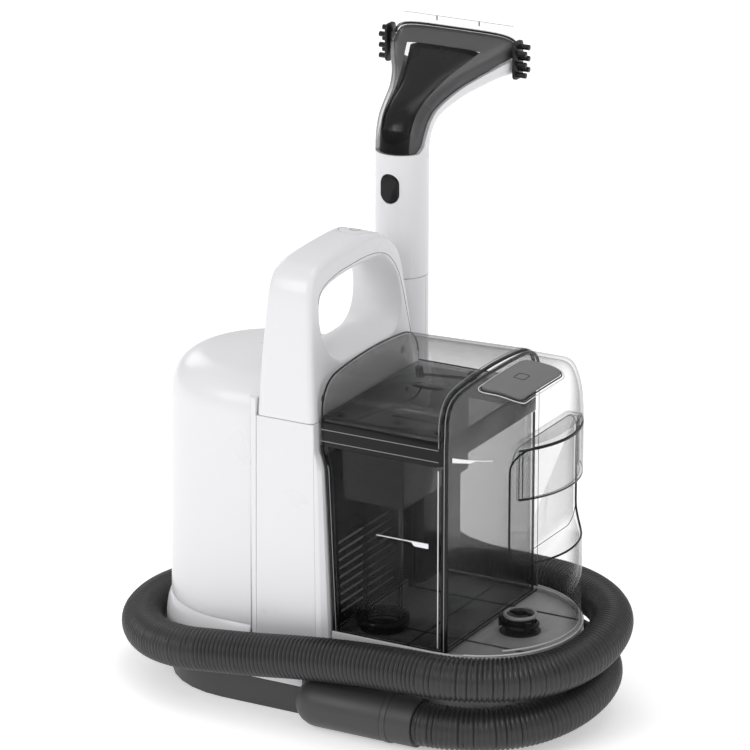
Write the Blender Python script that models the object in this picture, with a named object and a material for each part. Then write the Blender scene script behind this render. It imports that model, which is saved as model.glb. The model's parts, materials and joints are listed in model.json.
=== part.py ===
"""Portable carpet cleaner: motor unit, two lift-out tanks, hose and hand tool.

The frame is in metres with +Z up and +X towards the tanks. The origin is on the flat underside, below the
middle of the column. Lengths below are in millimetres, and MM turns them into metres.
"""

from math import cos, pi, sin

import bmesh
import bpy
from mathutils import Matrix, Vector

MM = 0.001
GAP = 0.3          # between neighbouring pieces
WALL = 2.4         # moulded walls

# Body in plan: two straight sides at +-Y, a half round at each end
LEFT_X = -61.0     # centre of the motor end's half round
RIGHT_X = 127.0    # centre of the tank end's half round
BODY_R = 84.0      # skirt, and half the depth of the column
BASE_TOP = 24.5    # top of the dark base pan
LIP_TOP = 66.0     # top of the skirt's rounded lip
SEAM_Z = 243.0     # seam between column and arch handle
RECESS_R = 73.3    # foot of the tank end, inside the hose's lower turn
COVER_R = 79.8     # motor cover at its foot
COVER_TOP_R = 77.1
COLUMN_LEFT = -33.7

# Tanks
TANK_R = 78.0
TANK_FLOOR = 72.4
TANK_RIM = 224.7
DIVIDE_X = 135.0   # between the dirty and the clean tank
TUBE_AT = (65.0, -45.5)
VALVE_AT = (161.5, 0.0)

# Wand, standing behind the column
WAND_Y = 103.0
WAND_R = 21.3
WAND_BORE = 18.6
TOOL_Z = 310.0

# Hose
HOSE_R = 17.2
ELBOW_AT = (36.0, -93.3, 20.6)

WHITE = (0.85, 0.85, 0.86)
DARK = (0.06, 0.06, 0.065)
BLACK = (0.02, 0.02, 0.022)
SMOKE = (0.10, 0.10, 0.11)
CLEAR = (0.72, 0.73, 0.75)
STEEL = (0.55, 0.55, 0.56)
GREEN = (0.05, 0.18, 0.09)


def clear_scene():
    for obj in list(bpy.data.objects):
        bpy.data.objects.remove(obj, do_unlink=True)


def new_collection(name):
    group = bpy.data.collections.new(name)
    bpy.context.scene.collection.children.link(group)
    return group


clear_scene()
PARTS = new_collection("carpet_cleaner")
CUTTERS = new_collection("cutters")


def material(name, colour, roughness, metallic=0.0, alpha=1.0):
    mat = bpy.data.materials.new(name)
    mat.use_nodes = True
    shader = mat.node_tree.nodes["Principled BSDF"]
    shader.inputs["Base Color"].default_value = (*colour, 1.0)
    shader.inputs["Roughness"].default_value = roughness
    shader.inputs["Metallic"].default_value = metallic
    shader.inputs["Alpha"].default_value = alpha
    mat.diffuse_color = (*colour, alpha)
    return mat


def solid(name, bm):
    """A cutter object from bmesh data in millimetres. part() makes it a part."""
    bmesh.ops.scale(bm, vec=(MM, MM, MM), verts=bm.verts)
    bmesh.ops.recalc_face_normals(bm, faces=bm.faces)
    mesh = bpy.data.meshes.new(name)
    bm.to_mesh(mesh)
    bm.free()
    obj = bpy.data.objects.new(name, mesh)
    CUTTERS.objects.link(obj)
    obj.hide_render = True
    obj.display_type = "WIRE"
    return obj


def part(obj, name, colour, roughness, metallic=0.0, alpha=1.0):
    """Moves a finished shape from the cutters to the parts, with its own material."""
    CUTTERS.objects.unlink(obj)
    PARTS.objects.link(obj)
    obj.name = name
    obj.data.name = name
    obj.hide_render = False
    obj.display_type = "TEXTURED"
    obj.data.materials.clear()
    obj.data.materials.append(material(name, colour, roughness, metallic, alpha))
    obj.data.shade_smooth()
    obj.data.set_sharp_from_angle(angle=0.6)
    return obj


def boolean(obj, other, operation):
    step = obj.modifiers.new(operation.lower(), "BOOLEAN")
    step.operation = operation
    step.solver = "EXACT"
    step.object = other
    return obj


def cut(obj, *others):
    for other in others:
        boolean(obj, other, "DIFFERENCE")
    return obj


def join(obj, *others):
    for other in others:
        boolean(obj, other, "UNION")
    return obj


def meet(obj, *others):
    for other in others:
        boolean(obj, other, "INTERSECT")
    return obj


def box(low, high):
    bm = bmesh.new()
    bmesh.ops.create_cube(bm, size=1.0)
    low, high = Vector(low), Vector(high)
    for vert in bm.verts:
        vert.co = [low[i] + (vert.co[i] + 0.5) * (high[i] - low[i]) for i in range(3)]
    return solid("box", bm)


TURN = {
    "Z": Matrix.Identity(4),
    "X": Matrix.Rotation(pi / 2, 4, "Y"),
    "Y": Matrix.Rotation(-pi / 2, 4, "X"),
}


def cylinder(foot, radius, height, axis="Z", sides=24, top=None):
    """A round bar from its foot along an axis. top is the radius at the far end."""
    bm = bmesh.new()
    bmesh.ops.create_cone(bm, cap_ends=True, segments=sides, depth=height, radius1=radius,
                          radius2=radius if top is None else top)
    bmesh.ops.translate(bm, vec=(0, 0, height / 2), verts=bm.verts)
    bmesh.ops.transform(bm, matrix=Matrix.Translation(foot) @ TURN[axis], verts=bm.verts)
    return solid("cylinder", bm)


def turned(profile, foot, axis="Z", sides=24):
    """A turned shape. The profile is (along, radius), from the axis and back to the axis."""
    bm = bmesh.new()
    verts = [bm.verts.new((radius, 0, along)) for along, radius in profile]
    edges = [bm.edges.new(pair) for pair in zip(verts, verts[1:])]
    bmesh.ops.spin(bm, geom=verts + edges, axis=(0, 0, 1), cent=(0, 0, 0), steps=sides, angle=2 * pi)
    bmesh.ops.remove_doubles(bm, verts=bm.verts, dist=0.001)
    bmesh.ops.transform(bm, matrix=Matrix.Translation(foot) @ TURN[axis], verts=bm.verts)
    return solid("turned", bm)


def loft(rings):
    """A closed skin through rings with the same number of points, capped at both ends."""
    bm = bmesh.new()
    rows = [[bm.verts.new(point) for point in ring] for ring in rings]
    count = len(rows[0])
    for low, high in zip(rows, rows[1:]):
        for i in range(count):
            j = (i + 1) % count
            bm.faces.new((low[i], low[j], high[j], high[i]))
    bm.faces.new(rows[0])
    bm.faces.new(rows[-1])
    return solid("loft", bm)


def prism(outline, low, high, across="Z"):
    """A flat outline carried from low to high. The outline is (x, y), or (y, z) across X, or (x, z) across Y."""
    place = {
        "Z": lambda a, b, c: (a, b, c),
        "X": lambda a, b, c: (c, a, b),
        "Y": lambda a, b, c: (a, c, b),
    }[across]
    return loft([[place(a, b, c) for a, b in outline] for c in (low, high)])


def arc(centre, radius, start, end, steps):
    """Points on an arc in a plane. Angles are in degrees."""
    turns = [(start + (end - start) * i / steps) * pi / 180 for i in range(steps + 1)]
    return [(centre[0] + radius * cos(a), centre[1] + radius * sin(a)) for a in turns]


def rounded(low, high, radius, steps=4):
    """A rectangle with round corners, as an outline."""
    (a0, b0), (a1, b1) = low, high
    corners = [((a1 - radius, b0 + radius), -90), ((a1 - radius, b1 - radius), 0),
               ((a0 + radius, b1 - radius), 90), ((a0 + radius, b0 + radius), 180)]
    return [p for centre, start in corners for p in arc(centre, radius, start, start + 90, steps)]


def grow(outline, amount):
    """Moves an anticlockwise outline out by amount, or in if it is negative."""
    grown = []
    count = len(outline)
    for i, point in enumerate(outline):
        before = Vector(point) - Vector(outline[i - 1])
        after = Vector(outline[(i + 1) % count]) - Vector(point)
        normal = (Vector((before.y, -before.x)).normalized() + Vector((after.y, -after.x)).normalized())
        normal.normalize()
        lean = max(0.5, normal.dot(Vector((after.y, -after.x)).normalized()))
        grown.append(tuple(Vector(point) + normal * amount / lean))
    return grown


def body(name, pivot):
    """An empty on a moving body's joint axis. Its pieces are parented to it."""
    empty = bpy.data.objects.new(name + "_pivot", None)
    empty.location = Vector(pivot) * MM
    empty.empty_display_size = 0.02
    PARTS.objects.link(empty)
    return empty


def hang(pivot, *pieces):
    for piece in pieces:
        piece.parent = pivot
        piece.matrix_parent_inverse = Matrix.Translation(-pivot.location)


# ---------------------------------------------------------------- base and casings

def plan(left_r, right_r, z, step_x=15.0):
    """The body's outline at a height. The tank end may be slimmer than the motor end."""
    left = arc((LEFT_X, 0), left_r, 90, 270, 16)
    right = arc((RIGHT_X, 0), right_r, -90, 90, 16)
    flat = left + [(step_x - 0.6, -left_r), (step_x, -right_r)] + right
    flat += [(step_x, right_r), (step_x - 0.6, left_r)]
    return [(x, y, z) for x, y in flat]


def base_pan():
    pan = loft([plan(80, 72, 0), plan(BODY_R, RECESS_R, BASE_TOP)])
    inner = loft([plan(77.3, 69.3, 4, 12.5), plan(82.3, 71.3, 31, 12.5)])
    pockets = [cylinder((x, y, -1), 9 + GAP, 3.3) for x, y in FEET.values()]
    part(cut(pan, inner, *pockets, duct_way()), "base_pan", DARK, 0.55)


FEET = {"front_left": (-92, -46), "back_left": (-92, 46), "front_right": (158, -46), "back_right": (158, 46)}


def feet():
    for place, (x, y) in FEET.items():
        part(cylinder((x, y, 0), 9, 2), f"foot_{place}", BLACK, 0.8)


def duct_way():
    """The way through the front wall from the hose elbow."""
    x, y, z = ELBOW_AT
    return cylinder((x, y, z), 13.4, 30, "Y")


def lower_casing():
    lip = [(BASE_TOP + GAP, 84, RECESS_R), (47, 84, RECESS_R), (50, 84, 82.8), (57, 83.2, 82.3), (62, 81.6, 81.3),
           (LIP_TOP, 80.0, 80.1)]
    skirt = loft([plan(left, right, z) for z, left, right in lip])
    inner = loft([plan(left - WALL, right - WALL, z, 12.5) for z, left, right in
                  ((20, 84, RECESS_R), (49.6, 84, RECESS_R), (52.6, 83.8, 82.8), (70, 78.7, 79.2))])
    column_slot = box((COLUMN_LEFT - GAP, -90, 52), (38.0, 90, 80))
    part(cut(skirt, inner, column_slot, duct_way()), "lower_casing", WHITE, 0.35)


def cover_ring(z, half_depth, end_reach, inset=0.0):
    """The motor cover's outline: a half ellipse at the motor end, open towards the column."""
    turns = [(90 + 10 * i) * pi / 180 for i in range(19)]
    ring = [(LEFT_X + (end_reach - inset) * cos(a), (half_depth - inset) * sin(a)) for a in turns]
    ring += [(-20, -(half_depth - inset)), (-20, half_depth - inset)]
    return [(x, y, z - inset) for x, y in ring]


COVER_DOME = ((SEAM_Z, COVER_TOP_R, COVER_TOP_R), (251, 75.8, 74.6), (257, 72.0, 69.0), (261.5, 65.5, 60.0),
              (265, 50, 44), (267.2, 28, 24), (267.9, 8, 6))


def cover_skin():
    def rings(inset):
        foot = 66.3 + inset - (8 if inset else 0)
        return [cover_ring(foot, COVER_R, COVER_R, inset)] + [cover_ring(*level, inset) for level in COVER_DOME]
    return cut(loft(rings(0)), loft(rings(WALL)))


def handle_block(spare):
    """The arch handle's side faces: two planes that draw together towards the top."""
    return prism([(-25.5 - spare, 200), (25.5 + spare, 200), (25.5 + spare, SEAM_Z), (20.2 + spare, 332),
                  (18.2 + spare, 368), (-18.2 - spare, 368), (-20.2 - spare, 332), (-25.5 - spare, SEAM_Z)],
                 -95, 95, "Y")


def turned_box(low, high, degrees):
    """A box turned about the motor end's centre line."""
    obj = box(low, high)
    centre = Vector((LEFT_X, 0, 0)) * MM
    turn = Matrix.Rotation(degrees * pi / 180, 4, "Z")
    obj.data.transform(Matrix.Translation(centre) @ turn @ Matrix.Translation(-centre))
    return obj


GRILLE_TURN = 128.0


def motor_cover():
    skin = cover_skin()
    window = turned_box((LEFT_X + 60, -28, 96), (LEFT_X + 95, 28, 142), GRILLE_TURN)
    inlet = cylinder((-48, 60, 112), 8 + GAP, 40, "Y")
    column_slot = box((COLUMN_LEFT - GAP, -90, 60), (-15, 90, SEAM_Z + GAP))
    lugs = [box((COLUMN_LEFT - GAP, side * 77.2 - 10, 240), (-15, side * 77.2 + 10, 256.5)) for side in (-1, 1)]
    for lug, side in zip(lugs, (-1, 1)):
        lug.data.transform(Matrix.Translation((0, side * 10 * MM, 0)))
    part(cut(skin, column_slot, handle_block(GAP), window, inlet, *lugs), "motor_cover", WHITE, 0.3)


def exhaust_grille():
    grille = cover_skin()
    window = turned_box((LEFT_X + 60, -28 + GAP, 96 + GAP), (LEFT_X + 95, 28 - GAP, 142 - GAP), GRILLE_TURN)
    slots = [turned_box((LEFT_X + 60, -23, z), (LEFT_X + 95, 23, z + 2.4), GRILLE_TURN)
             for z in (101, 107, 113, 119, 125, 131)]
    part(cut(meet(grille, window), *slots), "exhaust_grille", WHITE, 0.4)


def exhaust_filter():
    pad = turned_box((LEFT_X + 64, -26, 98), (LEFT_X + 70, 26, 140), GRILLE_TURN)
    part(pad, "exhaust_filter", (0.5, 0.5, 0.48), 0.95)


def cord_inlet():
    collar = cylinder((-48, 74.5, 112), 8, 9.5, "Y", 24)
    flange = cylinder((-48, 79.9, 112), 10.5, 2.2, "Y", 24)
    bore = cylinder((-48, 70, 112), 3.6, 20, "Y", 16)
    part(cut(join(collar, flange), bore), "cord_inlet", DARK, 0.5)


# ---------------------------------------------------------------- column and arch handle

WING = ((52.3, 37.6), (66, 37.0), (205, 31.0), (210, 30.0), (215, 28.7), (220, 26.7), (224, 26.3), (242.7, 25.6))


def column_ring(z, wing_x):
    """The column in plan at a height: a round left edge, a slanted right edge."""
    face_x = 27.5 + (z - 65) * -1.8 / 178
    reach = wing_x - face_x
    front = [(COLUMN_LEFT, -76), (COLUMN_LEFT + 0.9, -80.2), (COLUMN_LEFT + 3.4, -83), (COLUMN_LEFT + 7, -BODY_R),
             (face_x, -BODY_R), (face_x + 0.45 * reach, -83.2), (face_x + 0.9 * reach, -80.5), (wing_x, -77.6)]
    return [(x, y, z) for x, y in front] + [(x, -y, z) for x, y in reversed(front)]


def column_frame():
    frame = loft([column_ring(z, x) for z, x in WING] + [column_ring(256, 25.6)])
    inside = box((-50, -78, 40), (22.5, 78, 239))
    crown = box((-50, -77.5, SEAM_Z - GAP), (50, 77.5, 270))
    handle_seat = box((-25.5 - GAP, -90, SEAM_Z - GAP), (50, 90, 270))
    panel_seat = prism([(-27, 54), (27, 54), (25.3, 250), (-25.3, 250)], -90, -80.7, "Y")
    dock_seat = box((27.2, -74, 74), (45, 74, 221.5))
    air_way = cylinder((10, 0, 232), 7, 25, "X", 20)
    cut(frame, inside, crown, handle_seat, panel_seat, dock_seat, air_way, wand_channel())
    part(frame, "column_frame", WHITE, 0.32)


def front_panel():
    plate = prism([(-27 + GAP, 54.3), (27 - GAP, 54.3), (25.3 - GAP, SEAM_Z - 0.5), (-25.3 + GAP, SEAM_Z - 0.5)],
                  -BODY_R, -81, "Y")
    part(plate, "front_panel", WHITE, 0.3)


def dock_wall():
    wall = loft([[(27.5, y0, z), (x, y0, z), (x, y1, z), (27.5, y1, z)] for z, x, y0, y1 in
                 ((74.3, 36.4, -73.7, 73.7), (205, 30.7, -73.7, 73.7), (214.5, 28.6, -73.7, 73.7))])
    grooves = [box((34.6 - 0.0431 * (z - 83), -58, z), (45, 24, z + 3.2)) for z in
               (83 + 6.8 * i for i in range(9))]
    part(cut(wall, *grooves), "dock_wall", DARK, 0.45)


ARCH = [(-84, 243.3), (-84, 249.7), (-82.4, 285), (-80, 315), (-77.4, 338.8), (-75, 348), (-70.9, 355.2),
        (-64.5, 360), (-56.6, 362.6), (-34.3, 364.9), (-0.6, 366), (24, 365.6), (36, 362.9), (46.4, 358),
        (56, 351), (62.2, 344.8), (66.2, 337.5), (68.9, 329), (72.5, 311), (76, 292.5), (79.4, 266.6), (83, 249),
        (84, 243.3)]
GRIP = [(-65.3, 322), (-64.2, 313), (-61.8, 304), (-57.5, 296), (-53.6, 290.3), (-48.5, 286), (-39.5, 281.2),
        (-28.4, 279), (9.8, 278), (41.1, 278.4), (50, 281.5), (56.8, 287), (60.4, 294.6), (61.4, 303),
        (60.2, 314.5), (54.6, 328), (43.4, 340), (32.2, 345.8), (-1.4, 348), (-35.1, 346.9), (-53, 343.6),
        (-61, 339), (-64.4, 332)]


def handle_shell():
    arch = meet(prism(list(reversed(ARCH)), -30, 30, "X"), handle_block(0))
    opening = prism(GRIP, -40, 40, "X")
    groove = prism(grow(GRIP, 2.8), -14, 14, "X")
    hollow = prism([(-80.5, 230), (78, 230), (75, 285), (72.5, 296), (68, 296), (62, 281), (50, 274.4),
                    (10, 272), (-40, 273.5), (-52, 278), (-64, 290), (-68.5, 306), (-76.5, 306)], -60, 60, "X")
    meet(hollow, prism([(-19.7, 220), (19.7, 220), (16.5, 310), (-16.5, 310)], -90, 90, "Y"))
    button_seat = cylinder((0, 27, 356.5), 13.1, 20)
    screw_seats = [cylinder((21, y, z), 3.6, 20, "X", 20) for y, z in SIDE_SCREWS.values()]
    cut(arch, opening, groove, hollow, button_seat, wand_channel(), *screw_seats)
    part(arch, "handle_shell", WHITE, 0.3)


SIDE_SCREWS = {"front": (-66.5, 259.0), "back": (60.0, 261.0)}


def side_screws():
    for place, (y, z) in SIDE_SCREWS.items():
        head = cylinder((21.3, y, z), 3.3, 2.2, "X", 20)
        slot = box((23.0, y - 2, z - 0.5), (25, y + 2, z + 0.5))
        part(cut(head, slot), f"side_screw_{place}", STEEL, 0.4, 1.0)


def grip_insert():
    band = prism(grow(GRIP, 2.5), -13.7, 13.7, "X")
    part(cut(band, prism(GRIP, -40, 40, "X")), "grip_insert", WHITE, 0.45)


def power_button():
    cap = cylinder((0, 27, 358.3), 12.8, 8.1, sides=32)
    button = part(cap, "power_button_cap", WHITE, 0.25)
    hang(body("power_button", (0, 27, 358.3)), button)


# ---------------------------------------------------------------- motor, pump and wiring

MOTOR_AT = (-86.0, 0.0)


def motor():
    x, y = MOTOR_AT
    mount = join(cylinder((x, y, 50), 44, 4), box((x - 26, -60, 50), (x + 30, 60, 54)))
    part(cut(mount, cylinder((x, y, 40), 12, 30)), "motor_mount", DARK, 0.6)
    can = cut(cylinder((x, y, 54.3), 40, 92, sides=32), cylinder((x, y, 57), 36, 60, sides=32),
              cylinder((x, y, 110), 5.3, 50, sides=20))
    for angle in range(0, 360, 60):
        hole = box((x + 30, -8, 66), (x + 50, 8, 76))
        turn = Matrix.Translation(Vector((x, y, 0)) * MM) @ Matrix.Rotation(angle * pi / 180, 4, "Z")
        hole.data.transform(turn @ Matrix.Translation(-Vector((x, y, 0)) * MM))
        cut(can, hole)
    part(can, "motor_can", STEEL, 0.35, 1.0)
    shroud = cut(cylinder((x, y, 146.6), 45, 46, sides=32), cylinder((x, y, 149), 42.5, 41, sides=32),
                 cylinder((x, y, 140), 5.3, 60, sides=20), cylinder((x, y, 180), 15, 20))
    part(shroud, "fan_shroud", DARK, 0.5)


def fan_impeller():
    x, y = MOTOR_AT
    fan = join(cylinder((x, y, 152), 39, 2.5, sides=32), cylinder((x, y, 120), 5, 58, sides=20))
    for i in range(8):
        blade = box((x + 4, -0.8, 154), (x + 38, 0.8, 172))
        turn = Matrix.Translation(Vector((x, y, 0)) * MM) @ Matrix.Rotation(i * pi / 4, 4, "Z")
        blade.data.transform(turn @ Matrix.Translation(-Vector((x, y, 0)) * MM))
        join(fan, blade)
    part(fan, "fan_impeller", BLACK, 0.5)
    hang(body("fan", (x, y, 152)), fan)


def pump():
    plate = join(box((-14, 20, 30), (16, 62, 32)), box((-14, 20, 12), (-11, 62, 31)), box((13, 20, 12), (16, 62, 31)))
    part(plate, "pump_bracket", STEEL, 0.4, 1.0)
    case = join(box((-9, 24, 32.3), (11, 58, 50)), cylinder((1, 10, 41), 5, 20, "Y", 20))
    part(cut(case, cylinder((1, 5, 41), 3, 30, "Y", 16)), "pump_body", BLACK, 0.5)


def control_board():
    board = join(box((-12, -34, 120), (-10.4, 34, 210)), box((-10.6, -24, 130), (2, 2, 152)),
                 box((-10.6, 8, 165), (-2, 26, 183)))
    part(board, "control_board", GREEN, 0.5)


# ---------------------------------------------------------------- tray under the tanks

def tray_outline(radius, left_x=38.6):
    return [(left_x, -radius)] + arc((RIGHT_X, 0), radius, -90, 90, 16) + [(left_x, radius)]


def tank_tray():
    tray = prism(tray_outline(80.0), LIP_TOP + GAP, 75.2)
    well = prism(tray_outline(78.4, 30), 71.8, 80)
    under = prism(tray_outline(77.8, 41), 60, 68.8)
    holes = [cylinder((*TUBE_AT, 60), 18, 20), cylinder((*VALVE_AT, 60), 16.3, 20)]
    part(cut(tray, well, under, *holes), "tank_tray", DARK, 0.3)


def suction_port():
    seal = cylinder((*TUBE_AT, 66.5), 17.7, 5.5)
    part(cut(seal, cylinder((*TUBE_AT, 60), 13.3, 20)), "suction_port_seal", BLACK, 0.7)
    route = [(36, -70.3, 20.6), (37, -63, 21.2), (41, -56.5, 25), (47.5, -51.5, 32), (55, -48, 42), (61.5, -46, 51),
             (65, -45.5, 59), (65, -45.5, 66)]
    part(cut(pipe_along(route, 13.0), pipe_along([(36, -80, 20.6)] + route + [(65, -45.5, 70)], 11.0)),
         "recovery_duct", DARK, 0.6)


def pipe_along(route, radius):
    """A round bar along a route, as a mesh with welded caps."""
    curve = bpy.data.curves.new("pipe", "CURVE")
    curve.dimensions = "3D"
    curve.bevel_depth = radius * MM
    curve.bevel_resolution = 4
    curve.use_fill_caps = True
    spline = curve.splines.new("POLY")
    spline.points.add(len(route) - 1)
    for knot, point in zip(spline.points, route):
        knot.co = (*(Vector(point) * MM), 1.0)
    guide = bpy.data.objects.new("pipe", curve)
    CUTTERS.objects.link(guide)
    bpy.context.view_layer.update()
    mesh = bpy.data.meshes.new_from_object(guide.evaluated_get(bpy.context.evaluated_depsgraph_get()))
    bm = bmesh.new()
    bm.from_mesh(mesh)
    bmesh.ops.remove_doubles(bm, verts=bm.verts, dist=0.00001)
    bmesh.ops.scale(bm, vec=(1 / MM, 1 / MM, 1 / MM), verts=bm.verts)
    pipe = solid("pipe", bm)
    pipe.matrix_world = guide.matrix_world
    bpy.data.objects.remove(guide, do_unlink=True)
    return pipe


def clean_port():
    cup = cylinder((*VALVE_AT, 60), 16, 11.7)
    part(cut(cup, cylinder((*VALVE_AT, 64), 12, 20), cylinder((*VALVE_AT, 50), 3, 20, sides=16)),
         "clean_water_port", BLACK, 0.6)


# ---------------------------------------------------------------- dirty-water tank and its lid

def tank_ring(z, left_x, inset=0.0):
    half = TANK_R - inset
    right_x = DIVIDE_X - GAP - inset
    left_x = left_x + inset
    return [(left_x, -half + 4, z), (left_x + 4, -half, z), (right_x - 6, -half, z), (right_x, -half + 3, z),
            (right_x, half - 3, z), (right_x - 6, half, z), (left_x + 4, half, z), (left_x, half - 4, z)]


def dirty_tank():
    levels = ((TANK_FLOOR, 37.6), (205, 31.6), (210, 30.6), (215, 29.4), (220, 27.7), (TANK_RIM, 27.0))
    outer = loft([tank_ring(z, x) for z, x in levels])
    inner = loft([tank_ring(75, 37.5, WALL), tank_ring(205, 31.6, WALL), tank_ring(215, 29.4, WALL),
                  tank_ring(232, 26.9, WALL)])
    port = cylinder((*TUBE_AT, 60), 13.3, 20)
    shell = part(cut(outer, inner, port), "dirty_tank_shell", SMOKE, 0.08, alpha=0.35)
    tube = join(cylinder((*TUBE_AT, 75.3), 15.5, 156.7), cylinder((*TUBE_AT, 75.3), 21, 7))
    tube = part(cut(tube, cylinder((*TUBE_AT, 60), 13.3, 200)), "suction_tube", SMOKE, 0.1, alpha=0.5)
    pivot = body("dirty_tank", (85, 0, TANK_FLOOR))
    hang(pivot, shell, tube)
    return pivot


ARCH_TOP = [(-77.4, 248.3), (-76.9, 258), (-75.2, 265.2), (-72, 269.8), (-67.4, 272.9), (-56.2, 277.3),
            (-42, 280), (-29.4, 281.2), (0, 281.6), (29.4, 281.2), (42, 280), (56.2, 277.3), (67.4, 272.9),
            (72, 269.8), (75.2, 265.2), (76.9, 258), (77.4, 248.3)]


def arch_ring(x, rise=0.0, inset=0.0, foot=248.3):
    """The tank block's arched section at a station. rise lifts the crown."""
    centre = Vector((0, 248.3))
    ring = []
    for y, z in ARCH_TOP:
        lifted = Vector((y, z + rise * (z - 248.3) / 33.3))
        away = lifted - centre
        shrunk = lifted - Vector((away.x / 77.4, away.y / 34)) * inset
        ring.append((x, shrunk.x, shrunk.y if shrunk.y > 248.4 else foot))
    return ring


def dirty_lid(tank_pivot):
    band = loft([tank_ring(TANK_RIM + 0.4, 26.9), tank_ring(237, 26.4), tank_ring(244.6, 26.4)])
    band = cut(band, loft([tank_ring(220, 27, 3.2), tank_ring(250, 27, 3.2)]))
    band = part(band, "lid_gasket", BLACK, 0.6)
    plate = prism([(x, y) for x, y, z in tank_ring(0, 27.2, 0.6)], 244.9, 247.9)
    plate = part(plate, "lid_plate", SMOKE, 0.2, alpha=0.8)
    cover = cut(loft([arch_ring(28.4, 0), arch_ring(DIVIDE_X - GAP, 3.2)]),
                loft([arch_ring(30.2, 0, 1.9, 240), arch_ring(DIVIDE_X - GAP - 1.9, 3.2, 1.9, 240)]))
    cover = part(cover, "lid_cover", SMOKE, 0.08, alpha=0.35)
    chamber = cut(box((43, -71, 182), (97, -7, 244.6)), box((45, -69, 170), (95, -9, 242.6)))
    chamber = part(chamber, "separator_box", SMOKE, 0.3, alpha=0.85)
    guide = join(box((64, -3, 90), (68, -0.5, 244.6)), box((64, 62.5, 90), (68, 65, 244.6)),
                 box((64, -3, 90), (68, 65, 93.6)))
    guide = part(guide, "float_guide", BLACK, 0.5)
    lid = body("dirty_tank_lid", (85, 0, 244.6))
    hang(lid, band, plate, cover, chamber, guide)
    lid.parent = tank_pivot
    lid.matrix_parent_inverse = Matrix.Translation(-tank_pivot.location)
    floater = cut(box((56, 0.5, 94.5), (76, 61.5, 175)), box((58, 2.5, 90), (74, 59.5, 172.5)))
    floater = part(floater, "float", BLACK, 0.4)
    float_pivot = body("float_body", (66, 31, 94.5))
    hang(float_pivot, floater)


# ---------------------------------------------------------------- clean-water tank

def clean_form(inset):
    """The clean tank's outer form: a half round in plan, the arch across, and a rounded end."""
    radius = TANK_R - inset
    left_x = DIVIDE_X + GAP + inset
    top = 248.3
    in_plan = prism([(left_x, -radius + 1)] + arc((RIGHT_X, 0), radius, -83, 83, 18) + [(left_x, radius - 1)],
                    TANK_FLOOR + inset, 300)
    across = prism([(-90, 60)] + [(90, 60)] + [(y * 1.0, z) for y, z in reversed(clean_arch(inset))], 100, 230, "X")
    reach = arc((RIGHT_X + TANK_R - 46, top - 10), 46 - inset, 0, 90, 7)
    end = prism([(100, 60), (reach[0][0], 60)] + reach + [(100, reach[-1][1])], -100, 100, "Y")
    return meet(in_plan, across, end)


def clean_arch(inset):
    return [(y, z) for x, y, z in arch_ring(0, 3.2, inset, 248.3)]


RECESS = rounded((-56, 147), (56, 240), 17, 5)


def clean_tank():
    outer = clean_form(0)
    hollow = cut(clean_form(WALL), prism(grow(RECESS, WALL), 180.5 - WALL, 260, "X"))
    grip_recess = prism(RECESS, 180.5, 260, "X")
    mouth = prism(rounded((151, -25), (179, 25), 6), 250, 320)
    drain = cylinder((*VALVE_AT, 60), 11.5, 20)
    shell = part(cut(outer, hollow, grip_recess, mouth, drain), "clean_tank_shell", CLEAR, 0.06, alpha=0.25)
    bar = prism(arc((RIGHT_X, 0), TANK_R, -42, 42, 14) + list(reversed(arc((RIGHT_X, 0), TANK_R - 3, -42, 42, 14))),
                199, 239.6)
    bar = meet(bar, prism(grow(RECESS, -GAP), 170, 260, "X"))
    bar = part(bar, "tank_grip_bar", SMOKE, 0.1, alpha=0.4)
    valve = join(cylinder((*VALVE_AT, 66.5), 9, 9), cylinder((*VALVE_AT, 66.5), 11.2, 19.5))
    valve = cut(valve, cylinder((*VALVE_AT, 60), 5.5, 40, sides=24), box((150, -2, 79), (173, 2, 90)))
    valve = part(valve, "valve_body", BLACK, 0.35)
    pivot = body("clean_tank", (170, 0, TANK_FLOOR))
    hang(pivot, shell, bar, valve)
    plunger = part(join(cylinder((*VALVE_AT, 64.5), 3, 18, sides=20), cylinder((*VALVE_AT, 78.5), 5.2, 3, sides=24)),
                   "valve_plunger", STEEL, 0.3, 1.0)
    hang(body("valve", (*VALVE_AT, 64.5)), plunger)
    flap = meet(prism(rounded((148, -46), (182.5, 27), 7), 240, 300), cut(clean_form(-2.9), clean_form(-GAP)))
    flap = part(flap, "fill_flap", SMOKE, 0.25, alpha=0.9)
    hang(body("flap", (148, 0, 285.2)), flap)


# ---------------------------------------------------------------- hose

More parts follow.
